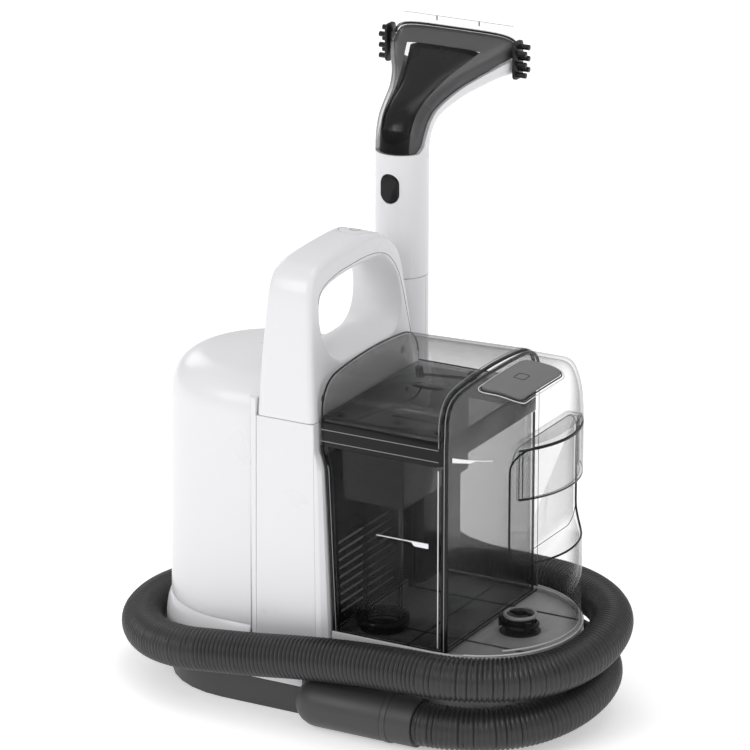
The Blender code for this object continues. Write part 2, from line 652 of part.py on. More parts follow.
# Hose centre line, from the elbow's collar, once round low down, once round above that, and up to the wand
LOWER_TURN = [(124.8, -93.3, 20.6), (134, -93.3, 20.6), (154, -89, 20.6), (178, -77.8, 20.8), (201, -56, 22.5),
              (215.5, -27, 26),
              (220, 4, 30), (214.5, 34, 32.8), (199, 60.5, 34.2), (176, 80.5, 35), (148, 92.5, 35.5),
              (115, 97.5, 35.8), (80, 100, 36), (45, 101.5, 36.2), (10, 102.3, 36.4), (-25, 102.8, 36.6),
              (-61, 102.8, 36.8), (-96, 96.8, 37), (-125.5, 80.5, 37.3), (-148.5, 54, 37.6), (-160.6, 24, 37.9),
              (-163.6, -1, 38.2), (-163.6, -6, 38.2)]
UPPER_TURN = [(-163.6, -6, 38.2), (-163.6, -12, 38.2), (-157, -38, 38.4), (-140, -65.8, 39.5), (-115, -87.5, 41.8), (-83, -100.6, 45.5),
              (-50, -102.8, 49.3), (-15, -102.6, 53), (20, -102.4, 57.6), (55, -102.2, 61.3), (88, -102, 63.8),
              (118, -101.8, 65), (150, -99, 65), (178, -87.5, 64.6), (202, -68.5, 64.6), (219, -42, 65.8),
              (227.5, -12, 69), (226.5, 19, 72.6), (217.5, 46.5, 75), (200, 70, 75.8), (176, 88.5, 75.6),
              (149, 99.3, 75), (118, 102.5, 74.8), (95, 103, 75), (76, 103, 75.6), (50, 103, 80.2),
              (27.1, 103, 93.4), (10.2, 103, 113.6), (2.2, 103, 130), (0, 103, 142), (0, 103, 151.6)]


def hose():
    for name, route in (("hose_lower_turn", LOWER_TURN), ("hose_upper_turn", UPPER_TURN)):
        points = [Vector(p) for p in route]
        if name == "hose_upper_turn":
            points[0] = points[0] + (points[1] - points[0]).normalized() * GAP
        curve = bpy.data.curves.new(name, "CURVE")
        curve.dimensions = "3D"
        curve.bevel_depth = HOSE_R * MM
        curve.bevel_resolution = 3
        curve.use_fill_caps = True
        spline = curve.splines.new("POLY")
        spline.points.add(len(points) - 1)
        for knot, point in zip(spline.points, points):
            knot.co = (*(point * MM), 1.0)
        obj = bpy.data.objects.new(name, curve)
        PARTS.objects.link(obj)
        curve.materials.append(material(name, DARK, 0.55))


def hose_elbow():
    x, y, z = ELBOW_AT
    nose = [(19.7 - 19.7 * cos(a * pi / 12), 19.7 * sin(a * pi / 12)) for a in range(7)]
    bend = join(turned(nose + [(81.3, 19.7), (81.3, 0)], (x - 19.3, y, z), "X"),
                cylinder((x, y, z), 15.5, 19.6, "Y"))
    bore = join(cylinder((x, y, z), 12.5, 100, "X", 20), cylinder((x, y, z), 12.4, 40, "Y", 20))
    part(cut(bend, bore), "hose_elbow", DARK, 0.4)
    ring = [(0, 0), (0, 20.1), (4.7, 20.1), (4.7, 19.3), (26.2, 19.3), (26.2, 0)]
    collar = cut(turned(ring, (x + 62.3, y, z), "X"), cylinder((x + 40, y, z), 14, 80, "X"))
    part(collar, "hose_collar", DARK, 0.4)


# ---------------------------------------------------------------- wand and tool

def wand_channel():
    """The space that the docked wand slides up through."""
    return cylinder((0, WAND_Y, 140), WAND_R + 0.7, 140, sides=32)


def wand_clips():
    """Two jaws on the column's back that hold the docked wand between them."""
    for name, low, high in (("wand_clip_left", -27, -16), ("wand_clip_right", 16, 27)):
        part(cut(box((low, BODY_R + GAP, 172), (high, 114, 216)), wand_channel()), name, WHITE, 0.35)


TRIGGER = [(118.6, 284), (119.4, 290), (123, 291.5), (126.6, 286), (129.5, 266), (131.5, 246), (131.2, 238),
           (129.4, 236.4), (127.4, 238), (123, 262)]


def half_tube(side, low, high):
    """Half of the wand's handle, in front of (-1) or behind (+1) its parting plane."""
    tube = cut(cylinder((0, WAND_Y, low), WAND_R, high - low, sides=32),
               cylinder((0, WAND_Y, low - 9), WAND_BORE, high - low + 20, sides=32))
    far = WAND_Y + side * 40
    near = WAND_Y + side * 0.15
    return meet(tube, box((-40, min(near, far), low - 20), (40, max(near, far), high + 20)))


def wand():
    cuff = cut(cylinder((0, WAND_Y, 152), 20.3, 16, sides=32), cylinder((0, WAND_Y, 140), 14, 40))
    cuff = part(cuff, "hose_cuff", DARK, 0.45)
    front = part(half_tube(-1, 168.3, TOOL_Z - GAP), "handle_front_shell", WHITE, 0.3)
    slot = box((-9, WAND_Y + 5, 232), (9, WAND_Y + 40, 294))
    back = part(cut(half_tube(1, 168.3, TOOL_Z - GAP), slot), "handle_back_shell", WHITE, 0.3)
    core = cut(cylinder((0, WAND_Y, 168.6), 15.3, 226), cylinder((0, WAND_Y, 160), 13, 240))
    core = part(core, "wand_core", DARK, 0.45)
    pivot = body("wand", (0, WAND_Y, 152))
    hang(pivot, cuff, front, back, core)
    lever = part(prism(TRIGGER, -8.4, 8.4, "X"), "spray_trigger_lever", DARK, 0.4)
    hang(body("spray_trigger", (0, 121.5, 288)), lever)
    return pivot


# Tool stations: top point (y, z), underside point (y, z), half width, roundness (2 is an ellipse)
STATIONS = (
    ((81.7, 406), (124.3, 406), 21.3, 2.0),
    ((81.9, 418), (125.2, 412), 21.3, 2.0),
    ((84.5, 430), (127.0, 420), 21.4, 2.1),
    ((91.0, 441), (131.0, 427), 21.8, 2.3),
    ((103, 450.5), (137, 431.5), 22.6, 2.6),
    ((120, 458.5), (145, 436), 25.5, 3.0),
    ((138, 467), (155, 442), 32.0, 3.4),
    ((156, 475), (166, 448), 41.5, 3.8),
    ((174, 482.5), (178, 452.8), 50.5, 4.2),
    ((186, 486.8), (187, 453.7), 55.0, 4.5),
    ((194, 489), (193.6, 453.7), 56.0, 5.0),
)


def tool_ring(top, under, half_width, roundness, inset):
    top, under = Vector(top), Vector(under)
    centre = (top + under) / 2
    half = (top - under) / 2
    half = half * (half.length - inset) / half.length
    ring = []
    for i in range(24):
        turn = 2 * pi * i / 24
        up = abs(cos(turn)) ** (2 / roundness) * (1 if cos(turn) > 0 else -1)
        out = abs(sin(turn)) ** (2 / roundness) * (1 if sin(turn) > 0 else -1)
        point = centre + half * up
        ring.append(((half_width - inset) * out, point.x, point.y))
    return ring


def tool_form(inset):
    """The tool's form from the tube's foot to the mouth, or its hollow when inset."""
    reach = 6 if inset else 0
    foot = (WAND_Y - WAND_R, TOOL_Z + GAP - reach), (WAND_Y + WAND_R, TOOL_Z + GAP - reach)
    rings = [tool_ring(*foot, WAND_R, 2.0, inset)] + [tool_ring(*station, inset) for station in STATIONS]
    if inset:
        rings.append([(x, y + reach, z) for x, y, z in rings[-1]])
    return loft(rings)


SPLIT = [(60, 410.6), (95, 411.2), (100.5, 416), (104, 424), (109.5, 433.5), (119, 441), (132.5, 447.2),
         (146.5, 454.5), (161, 461.5), (176, 467.6), (186.5, 470.2), (210, 471.4), (210, 530), (60, 530)]


def tool():
    front = prism(SPLIT, -80, 80, "X")
    hole = prism(rounded((-8.2, 371.3), (8.2, 395.7), 8.1, 6), 60, 100, "Y")
    tube = part(cut(tool_form(0), tool_form(2.7), front, hole), "tool_body", WHITE, 0.3)
    window = cut(meet(tool_form(0), prism(grow(SPLIT, -GAP), -80, 80, "X")), tool_form(2.7))
    window = part(window, "tool_window", SMOKE, 0.06, alpha=0.5)
    duct_rings = []
    for (top, under, half_width, roundness), share in zip(STATIONS[2:9], (0.72, 0.76, 0.78, 0.75, 0.72, 0.7, 0.7)):
        top, under = Vector(top), Vector(under)
        inner_top = top + (under - top).normalized() * 4.6
        inner_under = top + (under - top) * 0.55
        duct_rings.append(tool_ring(inner_top, inner_under, (half_width - 3.5) * share, 3.0, 0))
    duct = loft(duct_rings)
    bore_rings = [[(x * 0.86, y, z) for x, y, z in ring] for ring in duct_rings]
    part_way = []
    for ring in bore_rings:
        centre = sum((Vector(p) for p in ring), Vector()) / len(ring)
        part_way.append([tuple(centre + (Vector(p) - centre) * 0.72) for p in ring])
    part_way[0] = [tuple(Vector(p) - (Vector(q) - Vector(p)) * 0.3) for p, q in zip(part_way[0], part_way[1])]
    part_way[-1] = [tuple(Vector(p) + (Vector(p) - Vector(q)) * 0.3) for p, q in zip(part_way[-1], part_way[-2])]
    duct = part(cut(duct, loft(part_way)), "tool_duct", BLACK, 0.3)
    lip = part(box((-50, 194.4, 476), (50, 196, 495)), "squeegee_lip", CLEAR, 0.1, alpha=0.4)
    pivot = body("tool", (0, WAND_Y, TOOL_Z))
    hang(pivot, tube, window, duct, lip, *[brush(side) for side in (-1, 1)])
    key = prism(rounded((-7.8, 371.7), (7.8, 395.3), 7.7, 6), 81.3, 85.4, "Y")
    key = part(key, "tool_release_key", BLACK, 0.15)
    hang(body("tool_release", (0, 81.3, 383.5)), key)


NUBS = ((186, 476.3), (186, 467.4), (186, 458.8), (191.6, 480.6), (191.6, 471.6), (191.6, 462.6))


def brush(side):
    low, high = sorted((side * 56.4, side * 58.6))
    pad = prism(rounded((180.5, 455), (195.5, 486), 4, 3), low, high, "X")
    for y, z in NUBS:
        join(pad, cylinder((min(side * 57.3, side * 66), y, z), 2.3, 8.7, "X", 8))
    return part(pad, "brush_left" if side < 0 else "brush_right", BLACK, 0.7)


base_pan()
feet()
lower_casing()
motor_cover()
exhaust_grille()
exhaust_filter()
cord_inlet()
column_frame()
front_panel()
dock_wall()
handle_shell()
side_screws()
grip_insert()
power_button()
motor()
fan_impeller()
pump()
control_board()
tank_tray()
suction_port()
clean_port()
dirty_lid(dirty_tank())
clean_tank()
hose()
hose_elbow()
wand_clips()
wand()
tool()
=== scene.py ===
from math import atan2, cos, hypot, pi, radians, sin

import bmesh
import bpy
import numpy as np
from mathutils import Matrix, Vector
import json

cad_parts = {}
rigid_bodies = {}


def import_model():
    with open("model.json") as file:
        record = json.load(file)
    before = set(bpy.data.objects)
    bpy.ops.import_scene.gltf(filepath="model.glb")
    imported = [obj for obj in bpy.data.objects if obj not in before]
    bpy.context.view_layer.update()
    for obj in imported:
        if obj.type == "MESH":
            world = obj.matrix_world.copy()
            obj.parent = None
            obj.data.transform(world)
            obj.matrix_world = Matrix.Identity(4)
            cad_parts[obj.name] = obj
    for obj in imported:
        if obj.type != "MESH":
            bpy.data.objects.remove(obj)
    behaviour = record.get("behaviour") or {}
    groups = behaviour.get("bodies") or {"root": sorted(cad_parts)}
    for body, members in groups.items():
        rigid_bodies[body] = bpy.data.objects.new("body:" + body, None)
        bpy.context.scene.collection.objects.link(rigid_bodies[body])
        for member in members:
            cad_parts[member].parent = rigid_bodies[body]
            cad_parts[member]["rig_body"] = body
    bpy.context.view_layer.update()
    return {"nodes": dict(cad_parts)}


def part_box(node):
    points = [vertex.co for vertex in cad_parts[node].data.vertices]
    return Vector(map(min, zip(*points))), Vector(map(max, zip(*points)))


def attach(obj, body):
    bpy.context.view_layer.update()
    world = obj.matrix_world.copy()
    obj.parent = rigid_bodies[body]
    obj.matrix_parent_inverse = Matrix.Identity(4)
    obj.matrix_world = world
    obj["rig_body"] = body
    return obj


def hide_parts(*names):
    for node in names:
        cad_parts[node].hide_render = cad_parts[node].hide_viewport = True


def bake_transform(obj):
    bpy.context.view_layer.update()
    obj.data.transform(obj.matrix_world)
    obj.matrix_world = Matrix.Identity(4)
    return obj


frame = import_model()
scene = bpy.context.scene
scene.cycles.transparent_max_bounces = 40  # the tanks' walls lie one behind another
nodeOf = frame["nodes"]
mm = 0.001  # every size below is in millimetres


view = {"turn": 29.0, "tilt": 19.0, "lens": 240.0, "sensor": 36.0, "acrossFrame": 581.4,
        "aim": (32.7, 0.0, 259.5)}


def addCamera():
    a, e = radians(view["turn"]), radians(view["tilt"])
    back = Vector((sin(a) * cos(e), -cos(a) * cos(e), sin(e)))
    distance = view["lens"] / view["sensor"] * view["acrossFrame"]
    data = bpy.data.cameras.new("camera")
    data.lens, data.sensor_width = view["lens"], view["sensor"]
    data.clip_start, data.clip_end = 0.05, 60
    camera = bpy.data.objects.new("camera", data)
    camera.location = (Vector(view["aim"]) + back * distance) * mm
    camera.rotation_euler = (-back).to_track_quat("-Z", "Y").to_euler()
    scene.collection.objects.link(camera)
    scene.camera = camera


studio = {"key": (-0.9, -2.2, 1.5, 1.3, 16.5), "side": (2.4, -0.7, 0.9, 1.0, 4.5),
          "top": (0.2, 0.2, 2.4, 1.6, 9), "rim": (-1.9, 1.4, 1.2, 1.0, 5)}  # x, y, z, width; watts


def addStudio():
    for name, (x, y, z, width, watts) in studio.items():
        lamp = bpy.data.lights.new(name, "AREA")
        lamp.shape, lamp.size, lamp.energy = "DISK", width, watts
        holder = bpy.data.objects.new(name, lamp)
        holder.location = (x, y, z)
        aim = Vector((0.03, 0, 0.2)) - Vector((x, y, z))
        holder.rotation_euler = aim.to_track_quat("-Z", "Y").to_euler()
        scene.collection.objects.link(holder)
    world = bpy.data.worlds.new("studioSky")
    world.use_nodes = True
    tree = world.node_tree
    where = tree.nodes.new("ShaderNodeTexCoord")
    split = tree.nodes.new("ShaderNodeSeparateXYZ")
    ramp = tree.nodes.new("ShaderNodeValToRGB")
    ramp.color_ramp.elements[0].position, ramp.color_ramp.elements[0].color = 0.0, (0.62, 0.62, 0.62, 1)
    ramp.color_ramp.elements[1].position, ramp.color_ramp.elements[1].color = 0.75, (1, 1, 1, 1)
    tree.links.new(where.outputs["Generated"], split.inputs[0])
    tree.links.new(split.outputs["Z"], ramp.inputs[0])
    tree.links.new(ramp.outputs[0], tree.nodes["Background"].inputs["Color"])
    tree.nodes["Background"].inputs["Strength"].default_value = 0.62
    scene.world = world
    scene.view_settings.view_transform = "Standard"
    reach = 9000  # far enough to run out of the picture
    corners = [(-reach, -reach, 0), (reach, -reach, 0), (reach, reach, 0), (-reach, reach, 0)]
    floor = makeMesh("floor", corners, [(0, 1, 2, 3)])
    paper = bpy.data.materials.new("palePaper")
    paper.use_nodes = True
    shader = paper.node_tree.nodes["Principled BSDF"]
    shader.inputs["Base Color"].default_value = (0.93, 0.93, 0.93, 1)
    shader.inputs["Roughness"].default_value = 0.9
    shader.inputs["Emission Color"].default_value = (1, 1, 1, 1)
    shader.inputs["Emission Strength"].default_value = 0.42
    floor.data.materials.append(paper)


def makeMesh(name, points, faces):
    mesh = bpy.data.meshes.new(name)
    mesh.from_pydata([Vector(p) * mm for p in points], [], faces)
    mesh.update()
    made = bpy.data.objects.new(name, mesh)
    scene.collection.objects.link(made)
    return made


def fromBmesh(name, bm):
    mesh = bpy.data.meshes.new(name)
    bmesh.ops.recalc_face_normals(bm, faces=bm.faces)
    bm.to_mesh(mesh)
    bm.free()
    made = bpy.data.objects.new(name, mesh)
    scene.collection.objects.link(made)
    return made


def loft(name, rings):  # a closed form through rings of equal count
    count = len(rings[0])
    points = [p for ring in rings for p in ring]
    faces = [(r * count + i, r * count + (i + 1) % count, (r + 1) * count + (i + 1) % count,
             (r + 1) * count + i) for r in range(len(rings) - 1) for i in range(count)]
    faces += [tuple(reversed(range(count))), tuple(range(len(points) - count, len(points)))]
    made = makeMesh(name, points, faces)
    faceOutwards(made)
    return made


def faceOutwards(piece):
    bm = bmesh.new()
    bm.from_mesh(piece.data)
    bmesh.ops.recalc_face_normals(bm, faces=bm.faces)
    bm.to_mesh(piece.data)
    bm.free()


def prism(name, outline, low, high, across="Z"):
    place = {"Z": lambda a, b, c: (a, b, c), "Y": lambda a, b, c: (a, c, b),
             "X": lambda a, b, c: (c, a, b)}[across]
    return loft(name, [[place(a, b, low) for a, b in outline], [place(a, b, high) for a, b in outline]])


def arc(centre, radius, start, end, steps):
    turns = [radians(start + (end - start) * i / steps) for i in range(steps + 1)]
    return [(centre[0] + radius * cos(a), centre[1] + radius * sin(a)) for a in turns]


def roundedBox(low, high, radius, steps=6):
    (x0, y0), (x1, y1) = low, high
    corners = ((x1 - radius, y1 - radius, 0), (x0 + radius, y1 - radius, 90), (x0 + radius, y0 + radius, 180),
               (x1 - radius, y0 + radius, 270))
    return [p for x, y, turn in corners for p in arc((x, y), radius, turn, turn + 90, steps)]


def throughPoints(points, steps, closed=False):  # a smooth line through the points
    points = [Vector(p) for p in points]
    count = len(points)
    line = []
    for i in range(count if closed else count - 1):
        if closed:
            a, b, c, d = (points[(i + k) % count] for k in (-1, 0, 1, 2))
        else:
            b, c = points[i], points[i + 1]
            a = points[i - 1] if i else b * 2 - c
            d = points[i + 2] if i + 2 < count else c * 2 - b
        for k in range(steps):
            t = k / steps
            line.append(0.5 * (2 * b + (c - a) * t + (2 * a - 5 * b + 4 * c - d) * t * t
                               + (3 * b - a - 3 * c + d) * t * t * t))
    if not closed:
        line.append(points[-1])
    return line


def cutAway(piece, *cutters, how="DIFFERENCE"):
    for cutter in cutters:
        change = piece.modifiers.new("cut", "BOOLEAN")
        change.operation, change.solver, change.object = how, "EXACT", cutter
        applyAll(piece)
        bpy.data.objects.remove(cutter, do_unlink=True)
    return piece


def applyAll(piece):
    bpy.context.view_layer.update()
    done = bpy.data.meshes.new_from_object(piece.evaluated_get(bpy.context.evaluated_depsgraph_get()))
    piece.modifiers.clear()
    piece.data = done


def halve(piece, point, normal):  # cuts the piece at a plane, keeps what lies behind it and closes the cut
    bm = bmesh.new()
    bm.from_mesh(piece.data)
    everything = bm.verts[:] + bm.edges[:] + bm.faces[:]
    cut = bmesh.ops.bisect_plane(bm, geom=everything, plane_co=Vector(point) * mm, plane_no=normal,
                                 clear_outer=True)
    edges = [g for g in cut["geom_cut"] if isinstance(g, bmesh.types.BMEdge)]
    bmesh.ops.edgeloop_fill(bm, edges=edges)
    bmesh.ops.recalc_face_normals(bm, faces=bm.faces)
    bm.to_mesh(piece.data)
    bm.free()
    return piece


def softenEdges(piece, width, steps=2, limit=40):
    bm = bmesh.new()
    bm.from_mesh(piece.data)
    edges = [e for e in bm.edges if len(e.link_faces) == 2 and e.calc_face_angle() > radians(limit)]
    if edges and width:
        bmesh.ops.bevel(bm, geom=edges, offset=width * mm, offset_type="OFFSET", segments=steps, profile=0.5,
                        affect="EDGES", clamp_overlap=True)
    bm.to_mesh(piece.data)
    bm.free()
    return piece


def smoothShade(piece, angle=38):
    piece.data.shade_smooth()
    piece.data.set_sharp_from_angle(angle=radians(angle))
    return piece


# gives a finished piece its look, its body and the nodes that it stands for
def put(piece, body, look, slot, *nodes):
    piece.data.materials.clear()
    piece.data.materials.append(look)
    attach(piece, body)
    if nodes:
        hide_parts(*nodes)
    return piece


# a CAD node's own shape again, with its edges rounded as moulded parts are
def refined(node, look, slot, width=0.5, steps=2, limit=32):
    bm = bmesh.new()
    bm.from_mesh(nodeOf[node].data)
    bmesh.ops.remove_doubles(bm, verts=bm.verts, dist=0.000002)
    bmesh.ops.dissolve_limit(bm, angle_limit=radians(0.6), verts=bm.verts, edges=bm.edges)
    piece = fromBmesh(node + "Moulded", bm)
    softenEdges(piece, width, steps, limit)
    smoothShade(piece)
    return put(piece, nodeOf[node]["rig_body"], look, slot, node)


def tubesAlong(name, lines, radius, closed=False, around=8):  # round beads along lines, as one mesh
    points, faces = [], []
    for line in lines:
        line, first, side = [Vector(p) for p in line], len(points), Vector((0.35, 0.25, 0.9))
        count = len(line)
        for i, spot in enumerate(line):
            before = line[i - 1] if i or closed else spot
            after = line[(i + 1) % count] if i + 1 < count or closed else spot
            ahead = (after - before).normalized()
            side = (side - ahead * side.dot(ahead)).normalized()
            other = ahead.cross(side)
            turns = [2 * pi * k / around for k in range(around)]
            points += [spot + (side * cos(t) + other * sin(t)) * radius for t in turns]
        for row in range(count if closed else count - 1):
            near, far = first + row * around, first + (row + 1) % count * around
            faces += [(near + k, near + (k + 1) % around, far + (k + 1) % around, far + k)
                      for k in range(around)]
        if not closed:
            faces += [tuple(range(first + around - 1, first - 1, -1)),
                      tuple(range(len(points) - around, len(points)))]
    made = makeMesh(name, points, faces)
    faceOutwards(made)
    return made


def bead(name, body, look, slot, radius, *lines, closed=False, around=8):
    return put(smoothShade(tubesAlong(name, lines, radius, closed, around), 60), body, look, slot)


def ringAt(centre, radius, z, steps=48):
    return [(x, y, z) for x, y in arc(centre, radius, 0, 360 - 360 / steps, steps - 1)]


def softMax(a, b, reach):
    overlap = np.maximum(reach - np.abs(a - b), 0) / reach
    return np.maximum(a, b) + overlap * overlap * reach / 4


def boxGrid(low, high, step):
    counts = [max(2, round((h - l) / step)) for l, h in zip(low, high)]
    index, points, faces = {}, [], []

    def corner(key):
        if key not in index:
            index[key] = len(points)
            points.append([l + (h - l) * k / n for l, h, k, n in zip(low, high, key, counts)])
        return index[key]

    for axis in range(3):
        u, v = (axis + 1) % 3, (axis + 2) % 3
        for side in (0, counts[axis]):
            for i in range(counts[u]):
                for j in range(counts[v]):
                    keys = []
                    for a, b in ((0, 0), (1, 0), (1, 1), (0, 1)):
                        key = [0, 0, 0]
                        key[axis], key[u], key[v] = side, i + a, j + b
                        keys.append(corner(tuple(key)))
                    faces.append(keys if side else keys[::-1])
    return np.array(points, float), faces


def grownForm(name, low, high, rule, step=2.4):
    grid, faces = boxGrid(low, high, step)
    centre = (np.array(low, float) + np.array(high, float)) / 2
    rays = grid - centre
    near, far = np.zeros(len(rays)), np.ones(len(rays))
    for _ in range(26):
        middle = (near + far) / 2
        spot = centre + rays * middle[:, None]
        outside = rule(spot[:, 0], spot[:, 1], spot[:, 2]) > 0
        far = np.where(outside, middle, far)
        near = np.where(outside, near, middle)
    return makeMesh(name, centre + rays * near[:, None], faces)


# moulded plastic, rubber or metal with faint unevenness in tone, gloss and surface
def finish(name, colour, roughness, **more):
    about = {"metallic": 0.0, "tone": 0.04, "gloss": 0.05, "bump": 0.04, "fine": 900.0, "broad": 14.0,
             "coat": 0.0, "through": None, "edge": 1.0, "ior": 1.46}
    about.update(more)
    made = bpy.data.materials.new(name)
    made.use_nodes = True
    tree = made.node_tree
    shader = tree.nodes["Principled BSDF"]
    shader.inputs["Metallic"].default_value = about["metallic"]
    shader.inputs["IOR"].default_value = about["ior"]
    shader.inputs["Coat Weight"].default_value = about["coat"]
    shader.inputs["Coat Roughness"].default_value = 0.06
    where = tree.nodes.new("ShaderNodeTexCoord")
    cloudy = tree.nodes.new("ShaderNodeTexNoise")
    cloudy.inputs["Scale"].default_value = about["broad"]
    cloudy.inputs["Detail"].default_value = 3
    tree.links.new(where.outputs["Object"], cloudy.inputs["Vector"])
    ramp = tree.nodes.new("ShaderNodeValToRGB")
    ramp.color_ramp.elements[0].position, ramp.color_ramp.elements[1].position = 0.3, 0.7
    ramp.color_ramp.elements[0].color = (*[c * (1 - about["tone"]) for c in colour], 1)
    ramp.color_ramp.elements[1].color = (*[min(1, c * (1 + about["tone"])) for c in colour], 1)
    tree.links.new(cloudy.outputs["Fac"], ramp.inputs["Fac"])
    tree.links.new(ramp.outputs["Color"], shader.inputs["Base Color"])
    rub = tree.nodes.new("ShaderNodeMapRange")
    rub.inputs["From Min"].default_value, rub.inputs["From Max"].default_value = 0.3, 0.7
    rub.inputs["To Min"].default_value = max(0.02, roughness - about["gloss"])
    rub.inputs["To Max"].default_value = roughness + about["gloss"]
    tree.links.new(cloudy.outputs["Fac"], rub.inputs["Value"])
    tree.links.new(rub.outputs["Result"], shader.inputs["Roughness"])
    if about["bump"]:
        grain = tree.nodes.new("ShaderNodeTexNoise")
        grain.inputs["Scale"].default_value = about["fine"]
        grain.inputs["Detail"].default_value = 2
        tree.links.new(where.outputs["Object"], grain.inputs["Vector"])
        bump = tree.nodes.new("ShaderNodeBump")
        bump.inputs["Strength"].default_value = about["bump"]
        bump.inputs["Distance"].default_value = 0.0004
        tree.links.new(grain.outputs["Fac"], bump.inputs["Height"])
        tree.links.new(bump.outputs["Normal"], shader.inputs["Normal"])
    if about["through"] is not None:
        facing = tree.nodes.new("ShaderNodeLayerWeight")
        facing.inputs["Blend"].default_value = 0.5
        cover = tree.nodes.new("ShaderNodeMapRange")
        cover.interpolation_type = "SMOOTHSTEP"
        cover.inputs["From Min"].default_value = 0.45
        cover.inputs["To Min"].default_value = about["through"]
        cover.inputs["To Max"].default_value = about["edge"]
        tree.links.new(facing.outputs["Facing"], cover.inputs["Value"])
        tree.links.new(cover.outputs["Result"], shader.inputs["Alpha"])
    return made


def clearPlastic(name, shade, through, edge, roughness=0.04):  # see-through when faced, dark at its edges
    return finish(name, (shade, shade, shade * 1.03), roughness, tone=0.0, gloss=0.01, bump=0.0,
                  through=through, edge=edge)


def flatTone(shade):
    return shade, shade, shade * 1.02


whiteShell = finish("whiteShell", flatTone(0.83), 0.28, tone=0.004, gloss=0.01, bump=0.01, coat=0.1)
whiteSatin = finish("whiteSatin", flatTone(0.80), 0.45, tone=0.01, bump=0.08)
whiteMark = finish("whiteMark", flatTone(0.9), 0.5, tone=0.01, bump=0.02)
# grey for seams and print; it also draws the faint painted edge shade behind the tanks
seamGreyAndEdgeShade = finish("seamGreyAndEdgeShade", flatTone(0.22), 0.6, tone=0.05, bump=0.0)
charcoal = finish("charcoal", flatTone(0.052), 0.42, tone=0.06, bump=0.12)
charcoalBase = finish("charcoalBase", flatTone(0.060), 0.5, tone=0.06, bump=0.16)
hoseSkin = finish("hoseSkin", flatTone(0.030), 0.33, tone=0.10, bump=0.05)
blackGloss = finish("blackGloss", flatTone(0.006), 0.1, tone=0.1, bump=0.0, ior=1.32)
blackSatin = finish("blackSatin", flatTone(0.010), 0.26, tone=0.1, bump=0.01, ior=1.36)
innerDark = finish("innerDark", flatTone(0.009), 0.16, tone=0.12, bump=0.0, ior=1.36)
# light grey for painted gleam lines along the gasket band and the dirty tank's left end
paintedGleamGrey = finish("paintedGleamGrey", flatTone(0.26), 0.3, tone=0.06, bump=0.02)
# dark grey for a skin inside the hand tool: painted shade for the tool's inside
insideShadeGrey = finish("insideShadeGrey", flatTone(0.13), 0.3, tone=0.04, bump=0.0)
trayGrey = finish("trayGrey", flatTone(0.58), 0.35, tone=0.05, bump=0.05)
# light glossy colour for painted highlights: bright beads along rims, ribs and edges where light catches them
paintedHighlight = finish("paintedHighlight", flatTone(0.72), 0.12, tone=0.02, bump=0.0, coat=0.4)
# mid grey for the valve's ring and the lip's top edge line; it also draws painted highlight lines at the
# tanks' divide and the lid's end
valveGreyAndHighlight = finish("valveGreyAndHighlight", flatTone(0.30), 0.3, tone=0.05, bump=0.02)
rubberSeal = finish("rubberSeal", flatTone(0.018), 0.6, tone=0.1, bump=0.2)
flapRubber = finish("flapRubber", flatTone(0.17), 0.42, tone=0.04, bump=0.12)
footRubber = finish("footRubber", flatTone(0.03), 0.8, tone=0.1, bump=0.3)
foam = finish("foam", flatTone(0.1), 0.95, tone=0.2, bump=0.9, fine=400.0)
screwSteel = finish("screwSteel", flatTone(0.25), 0.35, metallic=1.0, tone=0.05)
motorSteel = finish("motorSteel", flatTone(0.5), 0.35, metallic=1.0, tone=0.05)
boardGreen = finish("boardGreen", (0.03, 0.12, 0.06), 0.5, tone=0.2, bump=0.2)
# near black for painted edge shade: dark lines along the clear and smoked walls' edges, where thick clear
# plastic refracts
paintedEdgeShade = finish("paintedEdgeShade", flatTone(0.006), 0.12, tone=0.0, bump=0.0, ior=1.36)
smoke = clearPlastic("smoke", 0.012, 0.15, 0.88)
smokeTube = clearPlastic("smokeTube", 0.012, 0.12, 0.98)
smokeLid = clearPlastic("smokeLid", 0.030, 0.055, 0.7)
lidGlass = clearPlastic("lidGlass", 0.045, 0.5, 0.85)
smokeTool = clearPlastic("smokeTool", 0.012, 0.10, 0.97)
clearWall = clearPlastic("clearWall", 0.08, 0.022, 0.55)
clearBar = clearPlastic("clearBar", 0.06, 0.05, 0.7)
clearLip = clearPlastic("clearLip", 0.45, 0.03, 0.5)

hose = {"radius": 17.2, "groove": 1.5, "pitch": 3.6, "samples": 5, "around": 36}
hoseLine = [(124.8, -93.3, 20.6), (134, -93.3, 20.6), (154, -89, 20.6), (178, -77.8, 20.8), (201, -56, 22.5),
            (215.5, -27, 26), (220, 4, 30), (214.5, 34, 32.8), (199, 60.5, 34.2), (176, 80.5, 35),
            (148, 92.5, 35.5), (115, 97.5, 35.8), (80, 100, 36), (45, 101.5, 36.2), (10, 102.3, 36.4),
            (-25, 102.8, 36.6), (-61, 102.8, 36.8), (-96, 96.8, 37), (-125.5, 80.5, 37.3), (-148.5, 54, 37.6),
            (-160.6, 24, 37.9), (-163.6, -6, 38.2), (-157, -38, 38.4), (-140, -65.8, 39.5),
            (-115, -87.5, 41.8), (-83, -100.6, 45.5), (-50, -102.8, 49.3), (-15, -102.6, 53),
            (20, -102.4, 57.6), (55, -102.2, 61.3), (88, -102, 63.8), (118, -101.8, 65), (150, -99, 65),
            (178, -87.5, 64.6), (202, -68.5, 64.6), (219, -42, 65.8), (227.5, -12, 69), (226.5, 19, 72.6),
            (217.5, 46.5, 75), (200, 70, 75.8), (176, 88.5, 75.6), (149, 99.3, 75), (118, 102.5, 74.8),
            (95, 103, 75), (76, 103, 75.6), (50, 103, 80.2), (27.1, 103, 93.4), (10.2, 103, 113.6),
            (2.2, 103, 130), (0, 103, 142), (0, 103, 151.6)]


